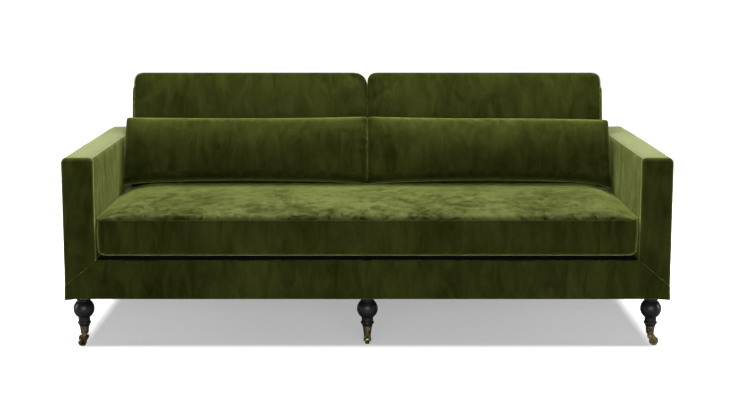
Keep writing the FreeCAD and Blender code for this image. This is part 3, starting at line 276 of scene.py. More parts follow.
def blotch_group():
    """Slow patches, brushed marks and a fine grain from Object coordinates, as a mask and a height."""
    group, given, result = new_group(
        "cloudy_patches",
        [("Stretch", "Vector", (1, 1, 1)), ("Patch", "Float", 6.0), ("Brush", "Float", 25.0),
         ("Share", "Float", 0.5), ("Grain", "Float", 900.0), ("Contrast", "Float", 0.5)],
        [("Mask", "Float"), ("Height", "Float")],
    )
    place = group.nodes.new("ShaderNodeTexCoord").outputs["Object"]
    stretched = node(group, "ShaderNodeVectorMath", i0=place, i1=given.outputs["Stretch"])
    stretched.operation = "MULTIPLY"
    slow = node(group, "ShaderNodeTexNoise", Vector=place, Scale=given.outputs["Patch"], Detail=3.0,
                Roughness=0.55, Distortion=0.4)
    brush = node(group, "ShaderNodeTexNoise", Vector=stretched.outputs[0], Scale=given.outputs["Brush"],
                 Detail=4.0, Roughness=0.62, Distortion=0.8)
    fine = node(group, "ShaderNodeTexNoise", Vector=place, Scale=given.outputs["Grain"], Detail=2.0)
    blend = node(group, "ShaderNodeMix", i0=given.outputs["Share"], i2=slow.outputs["Fac"],
                 i3=brush.outputs["Fac"])
    relief = node(group, "ShaderNodeMix", i0=0.55, i2=fine.outputs["Fac"], i3=brush.outputs["Fac"])
    low = node(group, "ShaderNodeMath", i0=0.5, i1=given.outputs["Contrast"])
    low.operation = "SUBTRACT"
    high = node(group, "ShaderNodeMath", i0=0.5, i1=given.outputs["Contrast"])
    high.operation = "ADD"
    mask = node(group, "ShaderNodeMapRange", Value=blend.outputs[0], From_Min=low.outputs[0],
                From_Max=high.outputs[0])
    group.links.new(mask.outputs[0], result.inputs["Mask"])
    group.links.new(relief.outputs[0], result.inputs["Height"])
    return group


patches = blotch_group()


def finish(name, dark, light, rough, stretch=(1, 1, 1), patch=6.0, brush=25.0, share=0.5, grain=900.0,
           contrast=0.2, bump=0.1, depth=0.0006, **constants):
    """A principled finish whose colour drifts between two shades, with a grain in its normal."""
    material = bpy.data.materials.new(name)
    material.use_nodes = True
    tree = material.node_tree
    shader = tree.nodes["Principled BSDF"]
    cloud = tree.nodes.new("ShaderNodeGroup")
    cloud.node_tree = patches
    settings = {"Stretch": stretch, "Patch": patch, "Brush": brush, "Share": share, "Grain": grain,
                "Contrast": contrast}
    for label, given in settings.items():
        cloud.inputs[label].default_value = given
    mix = node(tree, "ShaderNodeMix", i0=cloud.outputs["Mask"])
    mix.data_type = "RGBA"
    mix.inputs[6].default_value = (*dark, 1)
    mix.inputs[7].default_value = (*light, 1)
    tree.links.new(mix.outputs[2], shader.inputs["Base Color"])
    dull = node(tree, "ShaderNodeMapRange", Value=cloud.outputs["Mask"], To_Min=rough[0], To_Max=rough[1])
    tree.links.new(dull.outputs[0], shader.inputs["Roughness"])
    relief = node(tree, "ShaderNodeBump", Strength=bump, Distance=depth, Height=cloud.outputs["Height"])
    tree.links.new(relief.outputs["Normal"], shader.inputs["Normal"])
    for socket, given in constants.items():
        shader.inputs[socket.replace("_", " ")].default_value = given
    return material


def velvet(name, dark, light, sheen=1.0, tint=(0.75, 0.86, 0.21), soft=0.3, **pattern):
    """Cut pile: a deep ground colour that drifts with the lay of the nap, under a pale grazing sheen."""
    return finish(
        name, dark, light, (0.85, 0.95), grain=1400.0, bump=0.5, depth=0.004, Sheen_Weight=sheen,
        Sheen_Roughness=soft, Sheen_Tint=(*tint, 1), Specular_IOR_Level=0.0, **pattern,
    )


GROUND_DARK = (0.011, 0.013, 0.002)
GROUND_LIGHT = (0.044, 0.050, 0.010)
# Seat top: random patches on a lighter ground, partly painted sheen, as the seat's sheen is turned down.
SEAT_LIGHT = (0.064, 0.073, 0.022)
# Paler upright streaks for the inner arm walls, partly painted sheen: their sheen is turned down and this paler
# ground stands in for part of it.
WALL_STREAK_AND_SHEEN_LIGHT = (0.085, 0.093, 0.030)
# Painted highlight: a much lighter ground for the arm tops and their rounded edges, standing in for the glare of
# the overhead light on them.
PAINTED_HIGHLIGHT_DARK = (0.085, 0.093, 0.042)
PAINTED_HIGHLIGHT_LIGHT = (0.12, 0.13, 0.065)
UPRIGHT_NAP = (1, 1, 0.3)
velvet_flat = velvet("olive_velvet_flat", GROUND_DARK, GROUND_LIGHT, patch=4.0, brush=26.0, share=0.6,
                     stretch=UPRIGHT_NAP)
# Inner arm walls: upright streaks on a paler ground with less sheen, partly painted sheen.
velvet_wall_streaks_and_sheen = velvet("olive_velvet_wall_streaks_and_sheen", GROUND_DARK, WALL_STREAK_AND_SHEEN_LIGHT, sheen=0.2, patch=7.0,
                        brush=30.0, share=0.8, stretch=UPRIGHT_NAP, contrast=0.17)
# Painted highlight: the velvet with that lighter ground, for the arm tops.
velvet_painted_highlight = velvet("olive_velvet_painted_highlight", PAINTED_HIGHLIGHT_DARK, PAINTED_HIGHLIGHT_LIGHT, tint=(0.80, 0.86, 0.42), patch=5.0,
                       brush=22.0)
# Painted shade: the same velvet with less sheen, for the pillows' lower seams and ends.
velvet_painted_shade = velvet("olive_velvet_painted_shade", GROUND_DARK, GROUND_LIGHT, sheen=0.2, patch=4.0, brush=26.0)
# Seat top: patches on a lighter ground with less sheen, partly painted sheen.
velvet_seat = velvet("olive_velvet_seat", GROUND_DARK, SEAT_LIGHT, sheen=0.42, patch=4.0, brush=28.0,
                     share=0.6, contrast=0.1)
lacquer = finish("black_lacquer", (0.006, 0.006, 0.007), (0.010, 0.010, 0.011), (0.3, 0.42), patch=30.0,
                 grain=260.0, bump=0.03, Specular_IOR_Level=0.35)
brass = finish("antique_brass", (0.055, 0.042, 0.02), (0.42, 0.33, 0.16), (0.2, 0.42), patch=90.0,
               grain=700.0, contrast=0.16, bump=0.08, Metallic=1.0)
lining = finish("black_lining", (0.010, 0.010, 0.010), (0.020, 0.020, 0.020), (0.9, 1.0), patch=40.0,
                grain=1100.0, Specular_IOR_Level=0.1)
timber = finish("sawn_hardwood", (0.34, 0.20, 0.10), (0.52, 0.35, 0.19), (0.6, 0.8), stretch=(0.4, 4, 4),
                patch=9.0)
wadding = finish("foam_and_felt", (0.66, 0.62, 0.50), (0.80, 0.77, 0.66), (0.9, 1.0), patch=12.0,
                 grain=500.0)
steel = finish("zinc_plated_steel", (0.34, 0.34, 0.35), (0.52, 0.52, 0.52), (0.3, 0.5), patch=60.0,
               Metallic=1.0)
fibre = finish("vulcanised_fibre", (0.10, 0.03, 0.02), (0.16, 0.05, 0.03), (0.5, 0.7), patch=200.0)
FINISHES = {
    "velvet": velvet_flat, "padding": wadding, "lining": lining, "timber": timber, "lacquer": lacquer,
    "brass": brass, "steel": steel, "fibre": fibre,
}
for entry in frame["record"]["subparts"]:
    mesh = nodes[entry["node"]].data
    mesh.materials.clear()
    mesh.materials.append(FINISHES[entry["material_slot"]])

# Arms

EDGE_ROUND = 0.0155
SEAM_ROUND = 0.0028
SLEEVE_DIP = 0.004
REAR_CORNER = 0.014
REAR_FILL = 0.006
ARM_CURVE = 0.018
ARM_LIFT = 0.006
ARM_CROWN = 0.004
TOP_WAVES = 0.001
FINE_EDGE = (0, 0.0006, 0.0016, 0.003, 0.005, 0.0075, 0.011, 0.0155, 0.021)


def line(start, end, step):
    """Evenly spaced points from start up to, not including, end."""
    start, end = np.asarray(start, float), np.asarray(end, float)
    count = max(int(np.ceil(np.linalg.norm(end - start) / step)), 1)
    return start + (end - start) * (np.arange(count) / count)[:, None]


def bend(middle, radius, first, last, count=7):
    """Points along an arc, angles in degrees, up to, not including, the last."""
    angle = np.radians(first + (last - first) * np.arange(count) / count)
    return np.asarray(middle) + radius * np.stack([np.cos(angle), np.sin(angle)], axis=-1)


def inward(profile):
    """Unit normals of a closed clockwise profile, pointing to its inside."""
    way = np.roll(profile, -1, axis=0) - np.roll(profile, 1, axis=0)
    normal = np.stack([way[:, 1], -way[:, 0]], axis=-1)
    return normal / np.linalg.norm(normal, axis=1)[:, None]


def arm_sleeve(side, sign):
    """The sleeve of an arm: an upturned trough with rounded top edges, carried from front to rear.

    Near both ends it dips inwards as a small quarter round, where its seams pull it in, and its outer rear
    corner is rounded as seen from above. Its top and rounded edges take a copy of the velvet with a lighter
    ground, a painted highlight; its inner wall takes a copy with upright streaks, a paler ground and less
    sheen, partly painted sheen.
    """
    inner, outer, top, foot = ARM_LOW[0], ARM_HIGH[0], ARM_HIGH[2] + ARM_LIFT, ARM_LOW[2]
    inner_foot, curve, step = DECK_LOW[2], ARM_CURVE, 0.009
    parts = [
        line((inner, inner_foot), (inner, top - curve), step),
        bend((inner + curve, top - curve), curve, 180, 90, 8),
        line((inner + curve, top), (outer - curve, top), step),
        bend((outer - curve, top - curve), curve, 90, 0, 8),
        line((outer, top - curve), (outer, foot), step),
        line((outer, foot), (inner, inner_foot), 0.03),
    ]
    profile = np.concatenate(parts)
    rear = ARM_HIGH[1] + REAR_FILL
    half = (rear - ARM_LOW[1]) / 2
    along = spread(half, 0.012, (0, 0.0006, 0.0015, 0.003, 0.005, 0.008, 0.013, 0.02, 0.03))
    dip = edge_drop(half - np.abs(along), SLEEVE_DIP)
    ring = profile + inward(profile) * dip[:, None, None]
    narrow = edge_drop(half - along, REAR_CORNER)[:, None] / (outer - inner)
    ring[..., 0] -= narrow * (ring[..., 0] - inner)
    y = np.broadcast_to((along + (rear + ARM_LOW[1]) / 2)[:, None], ring.shape[:2])
    points = np.stack([sign * ring[..., 0], y, ring[..., 1]], axis=-1)
    across = rise(ring[..., 0] - inner, 0.05) * rise(outer - ring[..., 0], 0.05)
    crown = across * rise(half - np.abs(along), half)[:, None]
    on_top = ring[..., 1] > top - 0.002
    points[..., 2] += (ARM_CROWN * crown + TOP_WAVES * ripple(points, 0.24, 3)) * on_top
    numbers = np.arange(points[..., 0].size).reshape(points.shape[:2])
    faces = quads(numbers, wrap=True).tolist() + [numbers[0].tolist(), numbers[-1].tolist()]
    thing = piece(side + "_arm_sleeve", points, faces, velvet_painted_highlight, "sofa", [side + "_arm_cover"])
    thing.data.materials.append(velvet_wall_streaks_and_sheen)
    thing.data.materials.append(velvet_flat)
    # The top and its rounded edges take the painted highlight copy, the inner wall the streaked copy with less
    # sheen.
    highlight_slot, brushed, flat = range(3)
    lay = np.repeat([brushed, highlight_slot, highlight_slot, highlight_slot, flat, flat], [len(part) for part in parts])
    # The lower part of the inner rounded edge also takes the streaked, low-sheen copy, partly painted sheen.
    lay[len(parts[0]):len(parts[0]) + 4] = brushed
    lay = np.append(np.tile(lay, len(along) - 1), [flat, flat])
    thing.data.polygons.foreach_set("material_index", lay.astype(np.int32))
    return thing


def arm_front(side, sign):
    """The padded front of an arm: a rectangle with rounded top corners and a foot cut on the slant.

    Its free edges fall away in quarter rounds, and the slanting seam in a small one.
    """
    inner, outer, top, foot = ARM_LOW[0], ARM_HIGH[0], ARM_HIGH[2] + ARM_LIFT, MITRE_FOOT
    slope = DECK_HIGH[2] - foot
    half_a, half_b = (outer - inner) / 2, (top - foot) / 2
    depth = FRONT_HIGH[1] - FRONT_LOW[1]

    def plan(a, b):
        round_a, round_b = rounded_plan(a, b, half_a, half_b, np.where(b > 0, ARM_CURVE, 0.002))
        slant = foot + slope * (half_a - round_a) / (2 * half_a)
        return round_a, slant + (top - slant) * (round_b + half_b) / (2 * half_b)

    def face(a, b):
        free = np.minimum(half_a - np.abs(a), half_b - b)
        puff = 0.003 * (1 - (a / half_a) ** 2) * (1 - (b / half_b) ** 6)
        return puff - np.maximum(edge_drop(free, EDGE_ROUND), edge_drop(half_b + b, SEAM_ROUND))

    a, b = spread(half_a, 0.008, FINE_EDGE), spread(half_b, 0.009, FINE_EDGE)
    shell = Shell(a, b, plan, face, lambda a, b: np.full_like(a, -depth), 2)
    across, along, height = shell.points.T
    x = sign * (across + (inner + outer) / 2)
    points = np.stack([x, FRONT_LOW[1] - height, along], axis=-1)
    thing = piece(side + "_arm_panel", points, shell.faces, velvet_flat, "sofa", [side + "_arm_front"])
    return thing


def front_border():
    """The padded border under the seat: its ends follow the slanting seams, its feet end in small ears."""
    half, inner = FRONT_HIGH[0], ARM_LOW[0]
    low, high = FRONT_LOW[2], FRONT_HIGH[2]
    half_b = (high - low) / 2
    depth = FRONT_HIGH[1] - FRONT_LOW[1]
    ear_out, ear_down, waves = 0.002, 0.004, 0.0008

    def width(b):
        share = np.clip((b + half_b - (MITRE_FOOT - low)) / (high - MITRE_FOOT), 0, 1)
        return half - (half - inner) * share

    def plan(a, b):
        ear = np.exp(-((half - np.abs(a)) / 0.03) ** 2 - ((b + half_b) / 0.02) ** 2)
        return a / half * width(b) + ear_out * ear * np.sign(a), b + (low + high) / 2 - ear_down * ear

    def face(a, b):
        level = half_b - np.abs(b)
        end = (half - np.abs(a)) * width(b) / half
        seam = np.where(b + half_b < MITRE_FOOT - low, EDGE_ROUND, SEAM_ROUND)
        puff = 0.004 * (1 - (b / half_b) ** 2)
        return puff - np.maximum(edge_drop(level, 0.005), edge_drop(end, seam))

    a, b = spread(half, 0.014, FINE_EDGE), spread(half_b, 0.009, FINE_EDGE)
    shell = Shell(a, b, plan, face, lambda a, b: np.full_like(a, -depth), 2)
    across, along, height = shell.points.T
    points = np.stack([across, FRONT_LOW[1] - height, along], axis=-1)
    points[:, 1] -= waves * ripple(points, 0.3, 5)
    thing = piece("front_border_panel", points, shell.faces, velvet_flat, "sofa", ["front_border"])
    return thing


for side, sign in (("left", -1), ("right", 1)):
    arm_sleeve(side, sign)
    arm_front(side, sign)
front_border()

# Back and deck


def inside_back():
    """The upholstered back: a wedge in side view with a round front top edge, carried from arm to arm.

    Its two ends fall away in quarter rounds and close on the wedge's middle.
    """
    top, rear, foot, base = BACK_HIGH[2], BACK_HIGH[1], BACK_LOW[1], BACK_LOW[2]
    curve, rear_curve, end_round = 0.024, 0.006, 0.010
    step, coarse = 0.014, 0.03
    lean = math.degrees(math.atan2(LEAN_SINE, LEAN_COSINE))
    front_top = foot + (top - base) * LEAN_SINE / LEAN_COSINE
    run = curve / math.tan(math.radians(45 + lean / 2))
    middle = (front_top + run, top - curve)
    profile = np.concatenate([
        line((foot, base), (front_top - run * LEAN_SINE, top - run * LEAN_COSINE), step),
        bend(middle, curve, 180 - lean, 90),
        line((front_top + run, top), (rear - rear_curve, top), step),
        bend((rear - rear_curve, top - rear_curve), rear_curve, 90, 0, 4),
        line((rear, top - rear_curve), (rear, base), coarse),
        line((rear, base), (foot, base), coarse),
    ])
    half = BACK_HIGH[0]
    x = spread(half, 0.016, (0, 0.0005, 0.0014, 0.003, 0.005, 0.0075, 0.011))
    ring = profile + inward(profile) * edge_drop(half - np.abs(x), end_round)[:, None, None]
    heart = profile.mean(axis=0)
    cap = np.array([0, 0.3, 0.6, 0.85])[:, None, None]
    ring = np.concatenate([heart + (ring[0] - heart) * cap, ring, heart + (ring[-1] - heart) * cap[::-1]])
    x = np.concatenate([[-half] * len(cap), x, [half] * len(cap)])
    across = np.broadcast_to(x[:, None], ring.shape[:2])
    points = np.stack([across, ring[..., 0], ring[..., 1]], axis=-1)
    numbers = np.arange(across.size).reshape(across.shape)
    thing = piece("inside_back", points, quads(numbers, wrap=True), velvet_flat, "sofa", ["back_cover"],
                  merge=True)
    return thing


def outside_back():
    """The outside back: one wide panel with a narrow one behind each arm, their edges turned under."""
    low, top = REAR_LOW[2], REAR_HIGH[2]
    depth = REAR_HIGH[1] - REAR_LOW[1] + REAR_FILL
    fine = (0, 0.0005, 0.0013, 0.0025, 0.004, 0.007)
    wing, shoulder = REAR_HIGH[0] - REAR_CORNER, ARM_HIGH[2] - 0.003
    spans = [
        (-BACK_HIGH[0], BACK_HIGH[0], top),
        (BACK_HIGH[0], wing, shoulder),
        (-wing, -BACK_HIGH[0], shoulder),
    ]
    points, faces, count = [], [], 0
    for first, last, high in spans:
        half_a, half_b = (last - first) / 2, (high - low) / 2
        shell = Shell(
            spread(half_a, 0.02, fine), spread(half_b, 0.02, fine),
            lambda a, b: rounded_plan(a, b, half_a, half_b, np.where(b > 0, 0.012, 0.003)),
            lambda a, b: -edge_drop(np.minimum(half_a - np.abs(a), half_b - np.abs(b)), 0.003),
            lambda a, b: np.full_like(a, -depth), 1,
        )
        across, along, height = shell.points.T
        x, z = (first + last) / 2 - across, along + (low + high) / 2
        points.append(np.stack([x, REAR_HIGH[1] + REAR_FILL + height, z], axis=-1))
        faces.append(shell.faces + count)
        count += len(shell.points)
    thing = piece("outside_back_panels", np.concatenate(points), np.concatenate(faces), velvet_flat, "sofa",
                  ["outside_back"])
    return thing


def deck():
    """The deck under the seat cushion: a flat panel with turned edges, sewn across behind its front strip.

    The sewn line is a small trough, a bell curve of its distance from the line.
    """
    half, front, rear = DECK_HIGH[0] - 0.001, FRONT_LOW[1] + 0.004, DECK_HIGH[1]
    half_b, thick = (rear - front) / 2, DECK_HIGH[2] - DECK_LOW[2]
    sewn = 0.1

    def face(a, b):
        seam = np.exp(-((b + half_b - sewn) / 0.003) ** 2)
        return -0.0012 * seam - edge_drop(np.minimum(half - np.abs(a), half_b - np.abs(b)), 0.0015)

    strip = half_b - np.array([0, 0.0008, 0.0016, 0.01, 0.05, 0.09, 0.094, 0.097, 0.1, 0.103, 0.106, 0.12])
    b = np.concatenate([-strip, np.linspace(0.14 - half_b, half_b, 36)])
    shell = Shell(spread(half, 0.03, (0, 0.0008, 0.0016)), b, lambda a, b: (a, b), face,
                  lambda a, b: np.full_like(a, -thick), 1)
    across, along, height = shell.points.T
    points = np.stack([across, along + (front + rear) / 2, DECK_HIGH[2] + height], axis=-1)
    # The deck is cut from the black lining; its black also paints the shade in the gap under the seat's front
    # edge.
    thing = piece("deck_panel", points, shell.faces, lining, "sofa", ["deck_cover"])
    return thing


def dust_sheet():
    """The black cloth stapled under the frame, sagging a little between the rails.

    Its drop is a sine across the depth times two sines across the two bays.
    """
    x = np.linspace(DUST_LOW[0], DUST_HIGH[0], 121)[:, None]
    y = np.linspace(DUST_LOW[1], DUST_HIGH[1], 51)[None, :]
    bays = np.abs(np.sin(np.pi * (x - DUST_LOW[0]) / (DUST_HIGH[0] - DUST_LOW[0]) * 2))
    sag = 0.005 * bays * np.sin(np.pi * (y - DUST_LOW[1]) / (DUST_HIGH[1] - DUST_LOW[1]))
    points = np.stack(np.broadcast_arrays(x, y, DUST_LOW[2] + 0.001 - sag), axis=-1)
    numbers = np.arange(sag.size).reshape(sag.shape)
    thing = piece("dust_sheet", points, quads(numbers), lining, "sofa", ["dust_cover"])
    thick = thing.modifiers.new("thickness", "SOLIDIFY")
    thick.thickness = 0.001
    thick.offset = 0
    return thing


inside_back()
outside_back()
deck()
dust_sheet()

# Cushions

WELT = 0.0011


def cushion(shell, place, body, seams=()):
    """A padded piece from a shell carried to its place, smoothed once, with a welt along its seams."""
    name = body + "_soft"
    points = place(shell.points)
    thing = piece(name, points, shell.faces, velvet_flat, body, [body])
    smooth = thing.modifiers.new("smooth", "SUBSURF")
    smooth.levels = smooth.render_levels = 1
    lift = place(np.array([[0, 0, 1.0]])) - place(np.array([[0, 0, 0.0]]))
    rings, faces, count = [], [], 0
    for rim in seams:
        tube, tube_faces = closed_tube(points[rim], WELT, lift)
        rings.append(tube.reshape(-1, 3))
        faces.append(tube_faces + count)
        count += len(rings[-1])
    if seams:
        piece(name + "_welt", np.concatenate(rings), np.concatenate(faces), velvet_flat, body)
    return thing


def seat_cushion():
    """The long seat cushion: upright boxing, a crowned top and a flattened underside.

    From the front and the rear seam the top climbs as a small quarter round and two parabolas, and all of
    that shrinks towards the two ends as another parabola. The underside swells out from a lip.
    """
    half_a = SEAT_HIGH[0] + 0.004
    half_b = (SEAT_HIGH[1] - SEAT_LOW[1]) / 2 + 0.002
    under = DECK_HIGH[2] + 0.0008
    low, high = DECK_HIGH[2] + 0.0256, DECK_HIGH[2] + 0.1376
    crown, turn, run = SEAT_HIGH[2] - high + 0.001, 0.013, 0.125
    end_share, lip = 0.12, 0.011
    step, fine = 0.0135, (0, 0.003, 0.007, 0.012, 0.018, 0.026, 0.036)

    def face(a, b):
        end, edge = half_a - np.abs(a), half_b - np.abs(b)
        swell = 0.35 * rise(edge, run) + 0.65 * rise(edge, half_b)
        climb = turn - edge_drop(edge, turn) + (crown - turn) * swell
        return high + (end_share + (1 - end_share) * rise(end, run)) * climb

    def back(a, b):
        inset = np.minimum(half_a - np.abs(a), half_b - np.abs(b))
        return low - lip * rise(inset, 0.014) - (low - under - lip) * rise(inset - 0.01, 0.12)

    a, b = spread(half_a, step, fine), spread(half_b, step, fine)
    shell = Shell(a, b, lambda a, b: rounded_plan(a, b, half_a, half_b, 0.035), face, back, 9, 0.003)
    blown = swollen("seat_blank", shell.points, shell.faces, 4, 0.01, 20, 0.005, shell.sides)
    above = np.maximum(blown[:, 2] - high, 0)
    blown[:, 2] += above * (crown / above.max() - 1)
    shell.points = blown
    middle = (SEAT_HIGH[1] + SEAT_LOW[1]) / 2

    def place(points):
        return points + (0, middle, 0)

    thing = cushion(shell, place, "seat_cushion", [shell.rim, shell.back_rim])
    # The top grid takes the seat copy of the velvet: random patches, partly painted sheen.
    thing.data.materials.append(velvet_seat)
    lay = np.zeros(len(shell.faces), np.int32)
    lay[:(len(a) - 1) * (len(b) - 1)] = 1
    thing.data.polygons.foreach_set("material_index", lay)
    return thing


def back_cushion(side, sign):
    """A box-edged back cushion: its face crowned, its upper corners rounded, leaning with the back."""
    low, high = (np.array(corner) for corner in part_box(side + "_back_cushion"))
    half_a = (high[0] - low[0]) / 2 + 0.001
    middle_x = (high[0] + low[0]) / 2
    forward_gap, boxing, crown = 0.0012, 0.1, 0.0285
    top = (high[2] - DECK_HIGH[2] - (forward_gap + boxing) * LEAN_SINE) / LEAN_COSINE + 0.006
    foot = (low[2] - DECK_HIGH[2]) / LEAN_COSINE + 0.004
    half_b = (top - foot) / 2
    step = 0.0125
    middle_corner = 0.05 if side == "left" else 0.032
    outer_corner, low_corner, waves = 0.03, 0.02, 0.0015

    def plan(a, b):
        radius = np.where(b > 0, np.where(a * sign < 0, middle_corner, outer_corner), low_corner)
        return rounded_plan(a, b, half_a, half_b, radius)

    def face(a, b):
        end, edge = half_a - np.abs(a), half_b - np.abs(b)
        swell = forward_gap + boxing + 0.5 * crown * (rise(end, 0.2) * rise(edge, 0.2)) ** 0.8
        uneven = ripple(np.stack([a, b, 0 * a], axis=-1), 0.12, 12 + sign)
        return swell + waves * rise(np.minimum(end, edge), 0.02) * uneven

    a = np.linspace(-half_a, half_a, int(2 * half_a / step))
    b = np.linspace(-half_b, half_b, int(2 * half_b / step))
    shell = Shell(a, b, plan, face, lambda a, b: np.full_like(a, forward_gap), 8, 0.0009)
    blown = swollen(side + "_back_blank", shell.points, shell.faces, 5, 0.02, 22, 0.025, shell.sides)
    out = np.maximum(blown[:, 2] - forward_gap - boxing, 0)
    blown[:, 2] += out * (crown / out.max() - 1)
    shell.points = blown

    def place(points):
        return on_slope(points[:, 0] + middle_x, points[:, 2], points[:, 1] + (top + foot) / 2)

    return cushion(shell, place, side + "_back_cushion", [shell.rim])


def lumbar_pillow(side, sign):
    """A knife-edged pillow: two panels sewn edge to edge and blown up, gathered a little along the seam.

    Its long edges bow in between the corners, the lower one more, and its outer end leans in at the top.
    The gathers are waves along the seam that die away inside it. Along the lower seam and the ends the
    velvet is a copy with less sheen, painted shade. The outer end droops: its upper edge as the square of the
    way out, its lower edge as the sixth power.
    """
    low, high = (np.array(corner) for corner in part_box(side + "_lumbar_pillow"))
    half_a = (high[0] - low[0]) / 2 + 0.001
    middle_x = (high[0] + low[0]) / 2
    half_b, half_thick, seam = 0.126, 0.0575, 0.002
    upper_bow, lower_bow, end_lean = 0.05, 0.10, 0.012
    upper_turn, lower_turn, end_turn = 0.125, 0.034, 0.1
    gather, wave = 0.009, 0.028
    droop = 0.018 if side == "right" else 0.004
    step, forward, clear = 0.0075, 0.1888, 0.002

    def plan(a, b):
        round_a, round_b = rounded_plan(a, b, half_a, half_b, 0.01)
        bow = np.where(b > 0, upper_bow, lower_bow) * (1 - (a / half_a) ** 2)
        lean = end_lean * (1 + b / half_b) / 2 * np.maximum(a * sign / half_a, 0)
        return round_a - sign * lean, round_b * (1 - bow)

    def bulge(a, b):
        end, edge = half_a - np.abs(a), half_b - np.abs(b)
        turn = np.where(b < 0, lower_turn, upper_turn)
        return seam + (half_thick - seam) * np.sqrt(rise(end, end_turn) * rise(edge, turn))

    def gathers(a, b):
        end, edge = half_a - np.abs(a), half_b - np.abs(b)
        flat = 0 * a
        along = ripple(np.stack([a, flat, flat], axis=-1), wave, 31 + sign)
        across = ripple(np.stack([b, flat, flat], axis=-1), wave, 41 + sign)
        patchy = np.clip(0.5 + 0.5 * ripple(np.stack([a, b, flat], axis=-1), 0.25, 51 + sign), 0, 1)
        by_edge = along * np.exp(-edge / 0.022) * rise(edge, 0.012)
        by_end = across * np.exp(-end / 0.03) * rise(end, 0.012)
        return gather * patchy * (by_edge + by_end)

    a = np.linspace(-half_a, half_a, int(2 * half_a / step))
    b = np.linspace(-half_b, half_b, int(2 * half_b / step))
    shell = Shell(a, b, plan, bulge, lambda a, b: -bulge(a, b), 1)
    held = np.concatenate([shell.rim, shell.back_rim])
    blown = swollen(side + "_pillow_blank", shell.points, shell.faces, 2, 0.01, 20, 0.006, held)
    shell.points = filled(blown, half_a, half_b, half_thick)
    folds = gathers(*np.meshgrid(a, b, indexing="ij")).ravel()
    shell.points[:shell.count, 2] += folds
    shell.points[shell.count:2 * shell.count, 2] -= folds
    outward = np.clip(sign * shell.points[:, 0] / half_a, 0, 1)
    level = (1 + shell.points[:, 1] / half_b) / 2
    shell.points[:, 1] -= droop * (outward ** 6 * (1 - level) + 0.7 * outward ** 2 * level)
    up = ((low[2] + high[2]) / 2 + clear - DECK_HIGH[2] - forward * LEAN_SINE) / LEAN_COSINE

    def place(points):
        return on_slope(points[:, 0] + middle_x, points[:, 2] + forward, points[:, 1] + up)

    body = side + "_lumbar_pillow"
    thing = cushion(shell, place, body)
    # Painted shade: faces near the lower seam and the ends take the low-sheen copy.
    thing.data.materials.append(velvet_painted_shade)
    cell_a, cell_b = np.meshgrid((a[:-1] + a[1:]) / 2, (b[:-1] + b[1:]) / 2)
    painted_shade_cells = (half_b + cell_b < 0.04) | (half_a - np.abs(cell_a) < 0.02)
    lay = np.zeros(len(shell.faces), np.int32)
    lay[:painted_shade_cells.size] = painted_shade_cells.ravel()
    thing.data.polygons.foreach_set("material_index", lay)
    return thing


seat_cushion()
for side, sign in (("left", -1), ("right", 1)):
    back_cushion(side, sign)
    lumbar_pillow(side, sign)

# Studio

# Painted shadow: the floor patch under the sofa, where the camera glow stays low.
PAINTED_SHADOW_PATCH = (0.965, 0.375, 20)
SHADE_GLOW, GLOW_RUN = 0.35, 0.05
PAPER, PAPER_SEEN = 0.3, 0.75


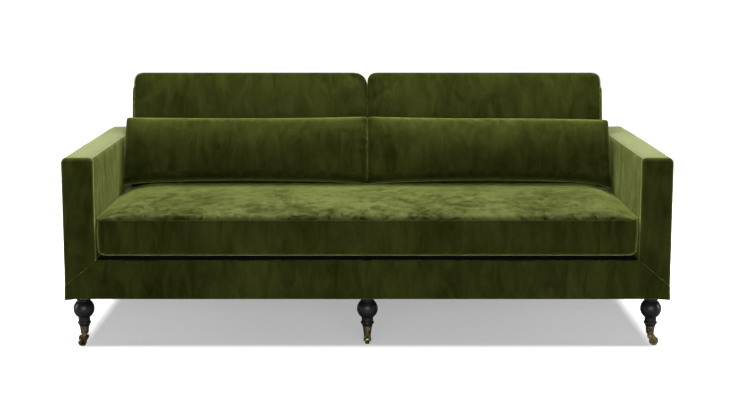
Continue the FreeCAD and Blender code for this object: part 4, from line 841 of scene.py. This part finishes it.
def floor():
    """A pale floor that curves up into a backdrop: a profile carried sideways.

    For the camera it is paler than for the lamps, and it glows white outside the patch of floor that the
    sofa keeps in shade and only dimly inside it, so the patch's sharp edge is a painted shadow over the
    lamps' real one. PAINTED_SHADOW_PATCH holds half the patch's width, depth and height.
    """
    turn = np.radians(np.linspace(-90, 0, 25))
    curve = 2.5
    sweep = np.stack([6 + curve * np.cos(turn), curve + curve * np.sin(turn)], axis=-1)
    profile = np.concatenate([[[-9, 0]], sweep, [[6 + curve, 9]]])
    x = np.array([-16.0, 16.0])
    points = np.stack(np.broadcast_arrays(x[:, None], profile[None, :, 0], profile[None, :, 1]), axis=-1)
    numbers = np.arange(points[..., 0].size).reshape(points.shape[:2])
    material = bpy.data.materials.new("studio_paper")
    material.use_nodes = True
    tree = material.node_tree
    shader = tree.nodes["Principled BSDF"]
    shader.inputs["Roughness"].default_value = 1.0
    shader.inputs["Specular IOR Level"].default_value = 0.0
    place = tree.nodes.new("ShaderNodeTexCoord").outputs["Object"]
    apart = node(tree, "ShaderNodeVectorMath", i0=place)
    apart.operation = "ABSOLUTE"
    beyond = node(tree, "ShaderNodeVectorMath", i0=apart.outputs[0], i1=PAINTED_SHADOW_PATCH)
    beyond.operation = "SUBTRACT"
    outside = node(tree, "ShaderNodeVectorMath", i0=beyond.outputs[0], i1=(0, 0, 0))
    outside.operation = "MAXIMUM"
    reach = node(tree, "ShaderNodeVectorMath", i0=outside.outputs[0])
    reach.operation = "LENGTH"
    clear = node(tree, "ShaderNodeMapRange", Value=reach.outputs["Value"], From_Min=0.0, From_Max=GLOW_RUN,
                 To_Min=SHADE_GLOW, To_Max=1.0)
    path = tree.nodes.new("ShaderNodeLightPath")
    paper = node(tree, "ShaderNodeMapRange", Value=path.outputs["Is Camera Ray"], To_Min=PAPER,
                 To_Max=PAPER_SEEN)
    tree.links.new(paper.outputs[0], shader.inputs["Base Color"])
    glow = node(tree, "ShaderNodeMath", i0=path.outputs["Is Camera Ray"], i1=clear.outputs[0])
    glow.operation = "MULTIPLY"
    shader.inputs["Emission Color"].default_value = (1, 1, 1, 1)
    tree.links.new(glow.outputs[0], shader.inputs["Emission Strength"])
    mesh = bpy.data.meshes.new("studio_floor")
    mesh.from_pydata(points.reshape(-1, 3), [], quads(numbers.T))
    mesh.polygons.foreach_set("use_smooth", np.ones(len(mesh.polygons), bool))
    mesh.materials.append(material)
    thing = bpy.data.objects.new("studio_floor", mesh)
    scene.collection.objects.link(thing)


def softbox(name, place, target, size, power):
    """A soft rectangular lamp aimed at a point."""
    light = bpy.data.lights.new(name, "AREA")
    light.shape = "RECTANGLE"
    light.size, light.size_y = size
    light.energy = power
    thing = bpy.data.objects.new(name, light)
    thing.location = place
    way = np.array(target, float) - np.array(place, float)
    flat = math.hypot(way[0], way[1])
    thing.rotation_euler = (math.atan2(flat, -way[2]), 0, math.atan2(-way[0], way[1]) if flat > 1e-6 else 0)
    scene.collection.objects.link(thing)


def studio():
    """Even room light with one large softbox overhead and weaker ones in front and at both sides."""
    world = bpy.data.worlds.new("studio_room")
    scene.world = world
    world.use_nodes = True
    tree = world.node_tree
    room = tree.nodes["Background"]
    path = tree.nodes.new("ShaderNodeLightPath")
    level = node(tree, "ShaderNodeMapRange", Value=path.outputs["Is Camera Ray"], To_Min=0.17, To_Max=1.0)
    tree.links.new(level.outputs[0], room.inputs["Strength"])
    room.inputs["Color"].default_value = (1, 1, 1, 1)
    softbox("overhead", (0, 0.5, 3.2), (0, 0.0, 0), (3.6, 1.6), 320)
    softbox("front_fill", (0, -5.5, 1.3), (0, 0, 0.5), (4.0, 1.6), 138)
    softbox("left_rim", (-4.5, -0.6, 1.0), (0, -0.4, 0.5), (1.0, 1.6), 40)
    softbox("right_rim", (4.5, -0.6, 1.0), (0, -0.4, 0.5), (1.0, 1.6), 40)


def camera():
    """Stands square on, a little above the arms, tipped down and shifted to the photograph's frame."""
    lens = bpy.data.cameras.new("camera")
    lens.sensor_width = 36
    lens.sensor_fit = "HORIZONTAL"
    lens.lens = 63.234
    lens.shift_x = -0.0005
    lens.shift_y = -0.1
    thing = bpy.data.objects.new("camera", lens)
    thing.location = (0, -4.7056, 1.2952)
    thing.rotation_euler = (math.radians(90 - 7.33), 0, 0)
    scene.collection.objects.link(thing)
    scene.camera = thing


floor()
studio()
camera()
